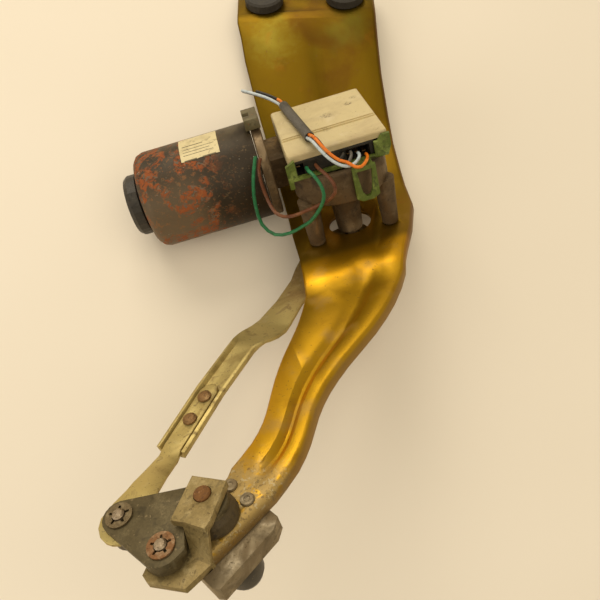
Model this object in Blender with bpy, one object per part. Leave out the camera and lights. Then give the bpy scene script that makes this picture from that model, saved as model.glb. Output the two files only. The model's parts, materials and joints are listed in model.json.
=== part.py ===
"""Windshield wiper motor, gearbox, crank, rod and spindle on a pressed steel bracket.

Everything is laid out in millimetres in the mechanism's own axes: X along the motor shaft towards the
gearbox, Z along the output shaft and the wiper spindle, origin on the motor plate's face at the output shaft.
The assembly empty then tips the whole object onto the three points it rests on.
"""
import math

import bmesh
import bpy
from mathutils import Matrix, Vector
from mathutils.geometry import delaunay_2d_cdt

MM = 0.001
GAP = 0.3  # clearance between pieces that touch on the real object
SHEET = 2.0  # thickness of the pressed bracket

# Motor and worm drive
MOTOR_Y, MOTOR_Z = 27.0, 40.0
CAN_R, CAN_WALL = 30.0, 2.0
CAN_BACK, CAN_FRONT = -118.0, -44.3
FLANGE_FRONT = -38.0
WHEEL_TEETH = 45
MODULE = 1.0
WHEEL_PITCH_R = WHEEL_TEETH * MODULE / 2
WORM_PITCH_R = MOTOR_Y - WHEEL_PITCH_R
LEAD = math.pi * MODULE
LEAD_ANGLE = math.atan(LEAD / (2 * math.pi * WORM_PITCH_R))
SHAFT_R = 4.0

# Gearbox casting and its cover
BOWL_R, BOWL_BASE, BOWL_TOP = 28.5, 30.0, 50.0
CAVITY_R = 24.5
BOSS_R = 8.0
POSTS = [(23.4, -12.0), (-23.4, -12.0), (0.0, 21.0)]
COVER_X, COVER_Y = (-29.0, 28.0), (-20.2, 47.0)
COVER_TOP = 65.0

# Crank and linkage, in plan
OUTPUT_R = 4.5
CRANK_PIN = (-27.6, -5.2)
PIVOT_S = (-104.4, -181.2)
PIN_ROD = (-141.5, -175.9)
PIN_LEVER = (-123.6, -195.5)
CRANK_TOP, CRANK_THICK = -8.0, 4.0
ROD_PLATE_TOP = -18.5
ROD_WEB_TOP = -11.0
ROD_EYE_TOP = 3.7
ARM_TOP = -5.0  # face of the bracket's arm, one joggle below the motor plate

# Top flange of the bracket, beyond the fold
FOLD_LEFT = Vector((-29.0, 133.0, 103.0))
FOLD_RIGHT = Vector((61.0, 117.0, 87.0))
FLANGE_LENGTH = 30.0
FOLD_ANGLE = math.radians(25)
GROMMET_SPACING = 57.0
GROMMET_INSET = 15.0

# The three points it rests on when laid down: crank socket, left grommet and motor can
REST_POINTS = [(-29.8, 3.0, -30.4), (-9.3, 158.3, 100.7), (-112.0, 48.2, 18.8)]

BODIES = {
    "frame": (0.0, 0.0, 0.0),
    "crank": (0.0, 0.0, 0.0),
    "armature": (0.0, MOTOR_Y, MOTOR_Z),
    "lever": (PIVOT_S[0], PIVOT_S[1], 0.0),
    "rod": (PIN_ROD[0], PIN_ROD[1], 0.0),
}
PARENT_BODY = {"crank": "frame", "armature": "frame", "lever": "frame", "rod": "lever"}
empties = {}


# ---------------------------------------------------------------- helpers
def clear_scene():
    for obj in list(bpy.data.objects):
        bpy.data.objects.remove(obj, do_unlink=True)


def material(name, color, metallic, roughness):
    mat = bpy.data.materials.get(name) or bpy.data.materials.new(name)
    mat.use_nodes = True
    shader = mat.node_tree.nodes["Principled BSDF"]
    shader.inputs["Base Color"].default_value = (*color, 1.0)
    shader.inputs["Metallic"].default_value = metallic
    shader.inputs["Roughness"].default_value = roughness
    mat.diffuse_color = (*color, 1.0)
    return mat


def make_empties():
    assembly = bpy.data.objects.new("assembly", None)
    bpy.context.collection.objects.link(assembly)
    empties["frame"] = assembly
    for body, parent in PARENT_BODY.items():
        empty = bpy.data.objects.new(body + "_axis", None)
        bpy.context.collection.objects.link(empty)
        empty.parent = empties[parent]
        offset = Vector(BODIES[body]) - Vector(BODIES[parent])
        empty.location = offset * MM
        empties[body] = empty


def add(name, bm, mat, body="frame"):
    """Turn a bmesh in millimetres into an object that hangs on its body's empty."""
    bmesh.ops.remove_doubles(bm, verts=bm.verts, dist=0.0005)
    bmesh.ops.recalc_face_normals(bm, faces=bm.faces)
    bmesh.ops.translate(bm, vec=-Vector(BODIES[body]), verts=bm.verts)
    bmesh.ops.scale(bm, vec=(MM, MM, MM), verts=bm.verts)
    mesh = bpy.data.meshes.new(name)
    bm.to_mesh(mesh)
    bm.free()
    obj = bpy.data.objects.new(name, mesh)
    bpy.context.collection.objects.link(obj)
    obj.parent = empties[body]
    if mat:
        mesh.materials.append(mat)
    return obj


def shape_with(obj, bm, operation="DIFFERENCE", body="frame"):
    """Add or remove a helper solid with a Boolean modifier; the helper stays out of renders."""
    helper = add(f"helper_{obj.name}_{len(obj.modifiers)}", bm, None, body)
    helper.hide_render = True
    helper.display_type = "WIRE"
    modifier = obj.modifiers.new(operation.lower(), "BOOLEAN")
    modifier.operation = operation
    modifier.solver = "EXACT"
    modifier.object = helper
    return helper


def revolve(bm, profile, segments, centre=(0, 0, 0), axis="Z"):
    """Spin a closed loop of (radius, height) points about an axis through centre."""
    turn = {"Z": Matrix(), "X": Matrix(((0, 0, 1), (1, 0, 0), (0, 1, 0))).to_4x4()}[axis]
    place = Matrix.Translation(centre) @ turn
    rings = []
    for radius, height in profile:
        if radius < 1e-6:
            vert = bm.verts.new(place @ Vector((0, 0, height)))
            rings.append([vert] * segments)
            continue
        angles = [2 * math.pi * i / segments for i in range(segments)]
        rings.append([
            bm.verts.new(place @ Vector((radius * math.cos(a), radius * math.sin(a), height)))
            for a in angles
        ])
    for low, high in zip(rings, rings[1:] + rings[:1]):
        if low[0] is low[1] and high[0] is high[1]:
            continue
        for i in range(segments):
            j = (i + 1) % segments
            corners = [low[i], low[j], high[j], high[i]]
            bm.faces.new(list(dict.fromkeys(corners)))
    return bm


def rod_solid(bm, radius, low, high, segments, centre=(0, 0, 0), axis="Z", chamfer=0.0):
    profile = [(0, low), (radius - chamfer, low), (radius, low + chamfer)]
    profile += [(radius, high - chamfer), (radius - chamfer, high), (0, high)]
    if not chamfer:
        profile = [(0, low), (radius, low), (radius, high), (0, high)]
    return revolve(bm, profile, segments, centre, axis)


def ring_solid(bm, inner, outer, low, high, segments, centre=(0, 0, 0), axis="Z"):
    return revolve(bm, [(inner, low), (outer, low), (outer, high), (inner, high)], segments, centre, axis)


def box(bm, x, y, z):
    corners = [Vector((a, b, c)) for c in z for b in y for a in x]
    verts = [bm.verts.new(corner) for corner in corners]
    for face in ((0, 2, 3, 1), (4, 5, 7, 6), (0, 1, 5, 4), (2, 6, 7, 3), (0, 4, 6, 2), (1, 3, 7, 5)):
        bm.faces.new([verts[i] for i in face])
    return bm


def inside(point, loop):
    """Even-odd test of a point against a closed outline."""
    crossings = 0
    for (ax, ay), (bx, by) in zip(loop, [*loop[1:], loop[0]]):
        if (ay > point.y) != (by > point.y) and point.x < ax + (point.y - ay) * (bx - ax) / (by - ay):
            crossings += 1
    return crossings % 2 == 1


def slab(bm, outline, low, high, holes=(), place=None):
    """Extrude a plan outline with holes between two heights."""
    place = place or Matrix()
    loops = [outline, *holes]
    points, edges = [], []
    for loop in loops:
        start = len(points)
        points += [Vector(p) for p in loop]
        edges += [(start + i, start + (i + 1) % len(loop)) for i in range(len(loop))]
    verts, _, faces, *_ = delaunay_2d_cdt(points, edges, [], 0, 1e-5)
    middles = [sum((verts[i] for i in face), Vector((0, 0))) / len(face) for face in faces]
    faces = [
        list(face) for face, middle in zip(faces, middles)
        if inside(middle, outline) and not any(inside(middle, hole) for hole in holes)
    ]
    layers = [[bm.verts.new(place @ Vector((v.x, v.y, h))) for v in verts] for h in (low, high)]
    rim = {}
    for face in faces:
        bm.faces.new([layers[0][i] for i in reversed(face)])
        bm.faces.new([layers[1][i] for i in face])
        for a, b in zip(face, face[1:] + face[:1]):
            rim[(a, b)] = True
    for a, b in rim:
        if (b, a) not in rim:
            bm.faces.new([layers[0][a], layers[0][b], layers[1][b], layers[1][a]])
    return bm


def circle(centre, radius, segments, start=0.0, sweep=2 * math.pi):
    whole = abs(sweep - 2 * math.pi) < 1e-6
    steps = segments if whole else segments - 1
    angles = [start + sweep * i / steps for i in range(segments)]
    return [(centre[0] + radius * math.cos(a), centre[1] + radius * math.sin(a)) for a in angles]


def hull_of_circles(circles, segments=24):
    """Outline of a plate that wraps round several circles (convex hull, counter-clockwise)."""
    points = sorted({(round(x, 4), round(y, 4)) for c, r in circles for x, y in circle(c, r, segments)})

    def half(sequence):
        chain = []
        for p in sequence:
            while len(chain) > 1:
                (ax, ay), (bx, by) = chain[-2], chain[-1]
                if (bx - ax) * (p[1] - ay) - (by - ay) * (p[0] - ax) > 1e-6:
                    break
                chain.pop()
            chain.append(p)
        return chain[:-1]

    return half(points) + half(points[::-1])


def grid(bm, rows):
    """Skin of quads through rows of points."""
    table = [[bm.verts.new(p) for p in row] for row in rows]
    for a, b in zip(table, table[1:]):
        for i in range(len(a) - 1):
            bm.faces.new([a[i], a[i + 1], b[i + 1], b[i]])
    return bm


def thicken(obj, thickness):
    """The grid is the outer face; the sheet's thickness goes to the side away from its normals."""
    modifier = obj.modifiers.new("sheet", "SOLIDIFY")
    modifier.thickness = thickness * MM
    modifier.offset = -1.0
    modifier.use_even_offset = True


def face_normals_up(obj):
    """Turn an open sheet so that its middle face looks along +Z."""
    mesh = obj.data
    total = sum((p.normal * p.area for p in mesh.polygons), Vector())
    if total.z < 0:
        mesh.flip_normals()


def spline(points, steps):
    """Catmull-Rom points through hand-chosen rows of numbers."""
    ends = [points[0], *points, points[-1]]
    out = []
    for a, b, c, d in zip(ends, ends[1:], ends[2:], ends[3:]):
        for k in range(steps):
            t = k / steps
            out.append([
                0.5 * (2 * q + (r - p) * t + (2 * p - 5 * q + 4 * r - s) * t * t + (3 * q - p - 3 * r + s) * t**3)
                for p, q, r, s in zip(a, b, c, d)
            ])
    out.append(list(points[-1]))
    return out


def wire(name, points, diameter, mat, smooth=1):
    """A round wire as a polyline curve with a bevel, through hand-chosen points."""
    curve = bpy.data.curves.new(name, "CURVE")
    curve.dimensions = "3D"
    curve.bevel_depth = diameter / 2 * MM
    curve.bevel_resolution = 2
    curve.use_fill_caps = True
    route = spline(points, smooth)
    line = curve.splines.new("POLY")
    line.points.add(len(route) - 1)
    for point, place in zip(line.points, route):
        point.co = (*(Vector(place) * MM), 1.0)
    obj = bpy.data.objects.new(name, curve)
    bpy.context.collection.objects.link(obj)
    obj.parent = empties["frame"]
    curve.materials.append(mat)
    return obj


# ---------------------------------------------------------------- bracket
def fold_axes():
    """Axes of the top flange: along the fold, away from the fold, and its normal."""
    along = (FOLD_RIGHT - FOLD_LEFT).normalized()
    slope_normal = Vector((0, -1, 1)).normalized()
    rise = slope_normal.cross(along).normalized()
    slope_normal = along.cross(rise).normalized()
    away = rise * math.cos(FOLD_ANGLE) - slope_normal * math.sin(FOLD_ANGLE)
    normal = slope_normal * math.cos(FOLD_ANGLE) + rise * math.sin(FOLD_ANGLE)
    return along, away.normalized(), normal.normalized(), rise


def grommet_places():
    along, away, normal, _ = fold_axes()
    middle = (FOLD_LEFT + FOLD_RIGHT) / 2 + away * GROMMET_INSET
    sides = {"left": -0.5, "right": 0.5}
    return {side: (middle + along * GROMMET_SPACING * k, normal) for side, k in sides.items()}


def arm_rows():
    """Left edge, right edge, height, groove depth: from the motor plate down to the spindle end."""
    knots = [
        (-39.5, -53.5, 15.6, -54.0, 2.4),
        (-44.0, -66.0, 2.0, -75.0, 3.0),
        (-51.0, -81.0, -14.0, -93.0, 3.0),
        (-60.0, -97.0, -33.0, -110.0, 3.0),
        (-67.0, -112.0, -46.0, -124.0, 3.0),
        (-72.5, -127.0, -54.5, -137.0, 3.0),
        (-77.0, -138.0, -61.0, -151.0, 3.0),
        (-84.0, -148.5, -69.0, -163.5, 2.6),
        (-94.6, -159.0, -81.0, -175.5, 0.0),
    ]
    return [(xl, yl, ARM_TOP, xr, yr, ARM_TOP, g) for xl, yl, xr, yr, g in spline(knots, 2)]


def bracket_rows():
    along, away, normal, rise = fold_axes()
    rows = []
    for distance in (FLANGE_LENGTH, GROMMET_INSET, 3.5):
        rows.append((*(FOLD_LEFT + away * distance), *(FOLD_RIGHT + away * distance), 0.0))
    rows.append((*(FOLD_LEFT - normal * 0.5), *(FOLD_RIGHT - normal * 0.5), 0.0))
    rows.append((*(FOLD_LEFT - rise * 3.5), *(FOLD_RIGHT - rise * 3.5), 0.0))
    rows += [
        (-30.6, 122.0, 92.0, 56.5, 103.0, 73.0, 2.0),
        (-32.6, 110.0, 80.0, 51.5, 86.0, 56.0, 3.0),
        (-34.0, 87.0, 57.0, 46.8, 64.0, 34.0, 3.0),
        (-34.4, 60.0, 30.0, 44.2, 50.0, 20.0, 2.0),
        (-34.8, 38.5, 8.6, 43.2, 37.5, 7.6, 0.0),
        (-35.0, 33.0, 3.4, 42.9, 32.5, 2.9, 0.0),
        (-35.2, 27.5, 0.0, 42.4, 27.5, 0.0, 0.0),
        (-36.2, 3.0, 0.0, 39.5, 3.0, 0.0, 0.0),
        (-36.5, -22.0, 0.0, 31.0, -20.0, 0.0, 0.0),
        (-37.4, -38.5, 0.0, 21.8, -39.5, 0.0, 0.0),
        (-38.4, -46.5, -2.4, 18.6, -47.0, -2.4, 1.6),
    ]
    rows += arm_rows()
    rows += [
        (-97.0, -163.5, ARM_TOP, -86.0, -179.0, ARM_TOP, 0.0),
        (-109.0, -175.5, ARM_TOP, -97.0, -186.8, ARM_TOP, 0.0),
        (-118.5, -186.5, ARM_TOP, -108.0, -194.5, ARM_TOP, 0.0),
        (-118.8, -192.5, ARM_TOP, -113.0, -198.0, ARM_TOP, 0.0),
    ]
    return rows


def make_bracket():
    """Pressed sheet: a skin through the rows, with the groove pressed in and the right edge turned down."""
    across = [(0.0, 0.0), (0.22, 0.0), (0.44, 0.0), (0.52, 0.45), (0.59, 1.0), (0.66, 1.0), (0.73, 0.45)]
    across += [(0.81, 0.0), (1.0, 0.0)]
    lip = [(1.6, -0.6), (2.9, -2.4), (3.2, -7.0)]
    skin = []
    rows = bracket_rows()
    for index, (xl, yl, zl, xr, yr, zr, groove) in enumerate(rows):
        left, right = Vector((xl, yl, zl)), Vector((xr, yr, zr))
        before, after = rows[max(index - 1, 0)], rows[min(index + 1, len(rows) - 1)]
        run = (Vector(before[:3]) + Vector(before[3:6])) - (Vector(after[:3]) + Vector(after[3:6]))
        side = (right - left).normalized()
        up = side.cross(run).normalized()
        line = [left - side * 1.2 - up * 0.7]
        line += [left.lerp(right, u) - up * groove * depth for u, depth in across]
        line += [right + side * out + up * down for out, down in lip]
        skin.append(line)
    obj = add("bracket", grid(bmesh.new(), skin), material("zinc_yellow", (0.62, 0.42, 0.09), 0.9, 0.34))
    face_normals_up(obj)
    thicken(obj, SHEET)
    holes = rod_solid(bmesh.new(), 13.5, -6, 4, 32)
    for x, y in POSTS:
        rod_solid(holes, 2.7, -6, 4, 12, (x, y, 0))
    rod_solid(holes, 6.6, ARM_TOP - 5, ARM_TOP + 3, 20, (*PIVOT_S, 0))
    for x, y in RIVETS:
        rod_solid(holes, 2.4, ARM_TOP - 5, ARM_TOP + 3, 12, (x, y, 0))
    for place, normal in grommet_places().values():
        turn = normal.to_track_quat("Z", "Y").to_matrix().to_4x4()
        cut = rod_solid(bmesh.new(), 10.6, -6, 6, 24)
        bmesh.ops.transform(cut, matrix=Matrix.Translation(place) @ turn, verts=cut.verts)
        append(holes, cut)
    shape_with(obj, holes)


def append(bm, other):
    """Copy another bmesh's faces into this one."""
    copies = {v: bm.verts.new(v.co) for v in other.verts}
    for face in other.faces:
        bm.faces.new([copies[v] for v in face.verts])
    other.free()
    return bm


def make_grommets():
    rubber = material("rubber_grommet", (0.035, 0.033, 0.032), 0.0, 0.75)
    steel = material("sleeve_steel", (0.45, 0.43, 0.38), 1.0, 0.45)
    for side, (place, normal) in grommet_places().items():
        turn = normal.to_track_quat("Z", "Y").to_matrix().to_4x4()
        put = Matrix.Translation(place - normal * SHEET / 2) @ turn
        half = SHEET / 2 + GAP
        profile = [(6.0, -8), (12.2, -8), (13.5, -6.8), (13.5, -half - 0.6), (12.8, -half), (10.2, -half)]
        profile += [(10.2, half), (12.8, half), (13.5, half + 0.6), (13.5, 6.8), (12.2, 8), (6.0, 8)]
        body = revolve(bmesh.new(), profile, 24)
        bmesh.ops.transform(body, matrix=put, verts=body.verts)
        add(f"grommet_{side}", body, rubber)
        sleeve = ring_solid(bmesh.new(), 4.5, 5.7, -8.6, 8.6, 20)
        bmesh.ops.transform(sleeve, matrix=put, verts=sleeve.verts)
        add(f"sleeve_{side}", sleeve, steel)


# ---------------------------------------------------------------- spindle end
RIVETS = [(-96.6, -167.8), (-90.0, -177.3), (-109.9, -193.7)]
HOUSING_OUTLINE = [
    (-98.0, -166.5), (-82.9, -179.2), (-79.7, -183.8), (-82.4, -189.3), (-107.0, -208.2),
    (-110.1, -207.0), (-118.6, -194.6), (-120.0, -186.0),
]
PAD_OUTLINE = [(-98.5, -169.0), (-88.0, -179.6), (-110.5, -194.5), (-117.0, -187.0)]


def staked_spigot(x, y, domed):
    """Peg of the casting that is staked over the bracket; one is flush, under the bridge plate's foot."""
    top = ARM_TOP - 0.05
    stem = [(0, ARM_TOP - 8.4), (2.1, ARM_TOP - 8.4), (2.1, top)]
    if domed:
        stem += [(2.1, ARM_TOP + GAP), (3.4, ARM_TOP + GAP), (3.0, ARM_TOP + 1.2), (1.5, ARM_TOP + 1.3)]
        stem += [(1.2, ARM_TOP + 0.8), (0, ARM_TOP + 0.8)]
    else:
        stem += [(0, top)]
    return revolve(bmesh.new(), stem, 14, (x, y, 0))


def make_pivot_housing():
    cast = material("cast_grey", (0.38, 0.37, 0.34), 0.6, 0.6)
    foot_top, foot_base = ARM_TOP - 7.9, ARM_TOP - 17.0
    body = slab(bmesh.new(), HOUSING_OUTLINE[::-1], foot_base, foot_top)
    obj = add("pivot_housing", body, cast)
    pad = slab(bmesh.new(), PAD_OUTLINE[::-1], foot_top - 1, ARM_TOP - SHEET - GAP)
    shape_with(obj, pad, "UNION")
    shape_with(obj, revolve(bmesh.new(), [
        (0, -38), (8.2, -38), (8.6, -37.4), (9.4, foot_base + 2), (0, foot_base + 2),
    ], 28, (*PIVOT_S, 0)), "UNION")
    bore = rod_solid(bmesh.new(), 6.3, -40, 0, 24, (*PIVOT_S, 0))
    shape_with(obj, bore)
    for index, (x, y) in enumerate(RIVETS):
        shape_with(obj, staked_spigot(x, y, domed=index < 2), "UNION")
    bronze = material("sintered_bronze", (0.42, 0.25, 0.12), 0.9, 0.5)
    for name, low, high in (("upper", -20.0, -7.6), ("lower", -37.6, -27.0)):
        add(f"spindle_bush_{name}", ring_solid(bmesh.new(), 5.0, 6.0, low, high, 20, (*PIVOT_S, 0)), bronze)


NECK_CORNER = (-114.3, -189.7)  # the lever plate is cut back here to let the bridge plate's neck pass


def make_lever():
    """Spindle, lever plate with its two hubs, bridge plate and the pin that ties them: one rigid body."""
    dark = material("phosphate_dark", (0.13, 0.12, 0.09), 0.55, 0.55)
    spindle = revolve(bmesh.new(), [
        (0, -48.5), (4.2, -48.5), (4.7, -48), (4.7, 8.1), (3.6, 8.1), (3.6, 13.0), (3.1, 13.5), (0, 13.7),
    ], 24, (*PIVOT_S, 0))
    add("wiper_spindle", spindle, material("rusty_steel", (0.3, 0.11, 0.05), 0.5, 0.7), "lever")

    outline = hull_of_circles([(PIN_ROD, 7.6), (PIN_LEVER, 8.8), (PIVOT_S, 9.0)], 20)
    holes = [circle(PIN_ROD, 3.0, 16), circle(PIN_LEVER, 3.0, 16), circle(PIVOT_S, 5.0, 20)]
    plate = slab(bmesh.new(), outline, 4.0, 7.0, holes)
    obj = add("lever_plate", plate, dark, "lever")
    hub = revolve(bmesh.new(), [(3.0, -1.0), (7.8, -1.0), (8.8, 0.2), (8.8, 6.8), (3.0, 6.8)], 24, (*PIN_LEVER, 0))
    shape_with(obj, hub, "UNION", "lever")
    x, y = NECK_CORNER
    shape_with(obj, box(bmesh.new(), (x, x + 24), (y - 24, y), (3.0, 8.0)), "DIFFERENCE", "lever")

    boot = revolve(bmesh.new(), [
        (5.0, -4.5), (10.8, -4.5), (11.0, -3.2), (10.2, 0.8), (8.4, 3.7), (5.0, 3.7),
    ], 28, (*PIVOT_S, 0))
    add("spindle_seal", boot, material("seal_dark", (0.09, 0.075, 0.055), 0.1, 0.6), "lever")

    pale = material("zinc_pale", (0.52, 0.47, 0.32), 0.75, 0.5)
    upper = slab(bmesh.new(), [
        (-118.0, -189.0), (-112.0, -192.0), (-104.6, -197.2), (-102.2, -194.5), (-94.1, -178.2), (-108.2, -170.7),
    ], 8.5, 12.3, [circle(PIVOT_S, 3.9, 20)])
    obj = add("bridge_plate", upper, pale, "lever")
    neck_top = [Vector((-113.6, -190.2, 0)), Vector((-103.4, -195.6, 0))]
    neck_low = [Vector((-114.0, -199.0, 0)), Vector((-106.5, -204.5, 0))]
    verts = []
    neck = bmesh.new()
    for pair, low, high in ((neck_top, 8.6, 12.2), (neck_low, -4.5, -1.4)):
        verts.append([neck.verts.new(p + Vector((0, 0, h))) for p, h in zip(pair * 2, (low, low, high, high))])
    top, bottom = verts
    for end in (top, bottom):
        neck.faces.new([end[i] for i in (0, 1, 3, 2)])
    for a, b in ((0, 1), (1, 3), (3, 2), (2, 0)):
        neck.faces.new([top[a], top[b], bottom[b], bottom[a]])
    bmesh.ops.recalc_face_normals(neck, faces=neck.faces)
    shape_with(obj, neck, "UNION", "lever")
    foot = slab(bmesh.new(), [
        (-134.5, -200.0), (-132.5, -203.8), (-117.5, -210.8), (-105.6, -203.4), (-112.5, -196.6),
        (-116.5, -188.5), (-128.5, -188.5),
    ], -4.6, -1.3, [circle(PIN_LEVER, 3.0, 16)])
    shape_with(obj, foot, "UNION", "lever")

    pin = revolve(bmesh.new(), [
        (0, -7.2), (4.6, -7.2), (4.9, -6.6), (4.9, -4.9), (2.7, -4.9), (2.7, 8.6), (2.0, 9.3), (0, 9.4),
    ], 16, (*PIN_LEVER, 0))
    silver = material("pin_silver", (0.55, 0.5, 0.44), 0.9, 0.4)
    add("lever_pin", pin, silver, "lever")
    add("lever_star_washer", star_washer(PIN_LEVER), material("washer_rust", (0.5, 0.2, 0.08), 0.5, 0.65), "lever")

    cap = revolve(bmesh.new(), [
        (5.0, -38.3), (8.8, -38.3), (9.6, -39.2), (9.6, -48.5), (8.2, -52.0), (0, -52.0), (0, -48.8), (5.0, -48.8),
    ], 24, (*PIVOT_S, 0))
    add("spindle_cap", cap, material("cap_dark", (0.07, 0.07, 0.075), 0.0, 0.55), "lever")


def star_washer(centre):
    """Spring washer with five slots that let its tongues bite on the pin."""
    hole = []
    for k in range(5):
        start = 2 * math.pi * k / 5
        hole += [(3.0, start), (4.5, start + 0.10), (4.5, start + 0.32), (3.0, start + 0.42), (3.0, start + 0.84)]
    points = [(centre[0] + r * math.cos(a), centre[1] + r * math.sin(a)) for r, a in hole]
    return slab(bmesh.new(), circle(centre, 5.9, 20), 7.3, 8.1, [points])


# ---------------------------------------------------------------- rod
def rod_frame():
    start = Vector((*PIN_ROD, 0))
    along = (Vector((*CRANK_PIN, 0)) - start)
    length = along.length
    along.normalize()
    return start, along, Vector((-along.y, along.x, 0)), length


ROD_BOW = [(-12, 0.0), (15, 0.0), (28, 4.0), (44, 9.0), (84, 9.0), (120, 6.5), (150, 3.0), (185, 0.0), (225, 0.0)]


def rod_side(distance):
    """How far the rod's middle line stands off the straight line between its joints, to clear the bracket."""
    for (d0, b0), (d1, b1) in zip(ROD_BOW, ROD_BOW[1:]):
        if distance <= d1:
            return b0 + (b1 - b0) * (distance - d0) / (d1 - d0)
    return 0.0


def rod_sheet(name, sections, mat, thickness):
    """Strip through sections (distance, height, half width, edge length, upward angle of the edge in degrees)."""
    start, along, side, _ = rod_frame()
    rows = []
    for distance, height, half, flange, angle in sections:
        base = start + along * distance + side * rod_side(distance) + Vector((0, 0, height))
        lift = math.radians(angle)
        out, up = flange * math.cos(lift), flange * math.sin(lift)
        row = [(-half - out, up), (-half, 0), (-half * 0.33, 0), (half * 0.33, 0), (half, 0), (half + out, up)]
        rows.append([base + side * y + Vector((0, 0, z)) for y, z in row])
    obj = add(name, grid(bmesh.new(), rows), mat, "rod")
    face_normals_up(obj)
    thicken(obj, thickness)
    return obj


def make_rod():
    olive = material("zinc_olive", (0.48, 0.43, 0.22), 0.8, 0.42)
    start, along, side, length = rod_frame()
    low = ROD_WEB_TOP + 2.0 + GAP
    eye = []
    for angle in (8, 30, 55, 80):
        a = math.radians(angle)
        eye.append((-10.7 * math.cos(a), ROD_EYE_TOP, 10.7 * math.sin(a) - 1.0, 1.0, 0))
    strip = eye + [
        (6, ROD_EYE_TOP, 8.6, 1.0, 0), (13, ROD_EYE_TOP, 6.6, 1.0, 0), (18, ROD_EYE_TOP - 1.2, 6.0, 1.0, 0),
        (28, 0.5 * (ROD_EYE_TOP + low), 5.2, 0.8, 0), (40, low, 4.6, 0.8, 0), (46, low, 4.3, 0.8, 0),
        (82, low, 4.3, 0.8, 0), (86, low, 2.6, 0.6, 0), (87.2, low, 0.9, 0.4, 0),
    ]
    obj = rod_sheet("rod_strip", strip, olive, 2.0)
    hole = rod_solid(bmesh.new(), 3.0, -4, 8, 16, (*PIN_ROD, 0))
    rivet_spots = [start + along * d + side * rod_side(d) for d in (63.0, 78.0)]
    for spot in rivet_spots:
        rod_solid(hole, 2.4, low - 2.2, low + 2, 12, spot)
    shape_with(obj, hole, "DIFFERENCE", "rod")

    web, plate = ROD_WEB_TOP, ROD_PLATE_TOP
    channel = [
        (44, web, 5.6, 3.2, 75), (84, web, 5.6, 3.2, 75), (116, web, 5.8, 3.2, 75), (122, web - 0.6, 6.6, 3.2, 50),
        (127, web - 1.8, 7.8, 3.0, 22), (133, web - 3.8, 9.2, 2.6, 8), (141, plate + 1.0, 9.0, 2.4, 0),
        (147, plate, 8.2, 2.2, 0), (165, plate, 6.6, 2.0, 0), (185, plate, 7.4, 2.0, 0), (197, plate, 9.4, 2.0, 0),
    ]
    for angle in (90, 60, 35, 12):
        a = math.radians(angle)
        channel.append((length + 12.0 * math.cos(a), plate, 12.0 * math.sin(a) - 2.0, 2.0, 0))
    obj = rod_sheet("rod_channel", channel, olive, 2.0)
    hole = rod_solid(bmesh.new(), 8.9, plate - 6, plate + 4, 24, (*CRANK_PIN, 0))
    for spot in rivet_spots:
        rod_solid(hole, 2.4, web - 4, web + 2, 12, spot)
    shape_with(obj, hole, "DIFFERENCE", "rod")

    bronze = material("rivet_bronze", (0.42, 0.25, 0.1), 0.8, 0.5)
    for number, spot in enumerate(rivet_spots, 1):
        rivet = revolve(bmesh.new(), [
            (0, web - 4.0), (2.6, web - 4.0), (3.6, web - 3.0), (3.6, web - 2.3), (2.1, web - 2.3),
            (2.1, low + GAP), (3.8, low + GAP), (3.6, low + 1.1), (2.4, low + 1.8), (0, low + 2.0),
        ], 14, spot)
        add(f"rod_rivet_{number}", rivet, bronze, "rod")

    pin = revolve(bmesh.new(), [
        (0, -9.8), (4.4, -9.8), (4.8, -9.2), (4.8, -8.2), (2.7, -8.2), (2.7, 8.8), (2.0, 9.5), (0, 9.6),
    ], 16, (*PIN_ROD, 0))
    add("rod_pin", pin, material("pin_silver", (0.55, 0.5, 0.44), 0.9, 0.4), "rod")
    add("rod_star_washer", star_washer(PIN_ROD), material("washer_steel", (0.46, 0.38, 0.24), 0.8, 0.5), "rod")
    cup = revolve(bmesh.new(), [
        (3.0, -7.9), (6.2, -7.9), (7.6, -6.6), (8.2, 0.6), (8.0, 1.4), (3.0, 1.4),
    ], 24, (*PIN_ROD, 0))
    add("rod_seal_cup", cup, material("seal_dark", (0.09, 0.075, 0.055), 0.1, 0.6), "rod")
    make_crank_joint()


def make_crank_joint():
    """Ball and socket under the crank; the ball's neck stops short of the crank's own stub."""
    ball_r, ball_z, neck_r = 6.0, -24.4, 3.4
    neck_z = ball_z + math.sqrt(ball_r**2 - neck_r**2)
    profile = [(0, ball_z - ball_r)]
    profile += [
        (ball_r * math.cos(a), ball_z + ball_r * math.sin(a))
        for a in (math.radians(d) for d in (-65, -40, -15, 10, 35))
    ]
    profile += [(neck_r, neck_z), (neck_r, ROD_PLATE_TOP + 0.4), (0, ROD_PLATE_TOP + 0.4)]
    add("crank_ball", revolve(bmesh.new(), profile, 20, (*CRANK_PIN, 0)), material(
        "ball_steel", (0.5, 0.48, 0.45), 1.0, 0.3), "rod")
    hollow_r = ball_r + 0.4
    inner = [
        (hollow_r * math.cos(a), ball_z + hollow_r * math.sin(a))
        for a in (math.radians(d) for d in (35, 10, -15, -40, -65))
    ]
    top = ROD_PLATE_TOP + 0.3
    profile = [(0, ball_z - hollow_r), (0, -32.0), (6.6, -32.0), (8.5, -30.4), (8.5, top), (4.8, top)]
    socket = revolve(bmesh.new(), profile + inner, 24, (*CRANK_PIN, 0))
    add("crank_socket", socket, material("socket_dark", (0.05, 0.048, 0.045), 0.0, 0.6), "rod")


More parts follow.
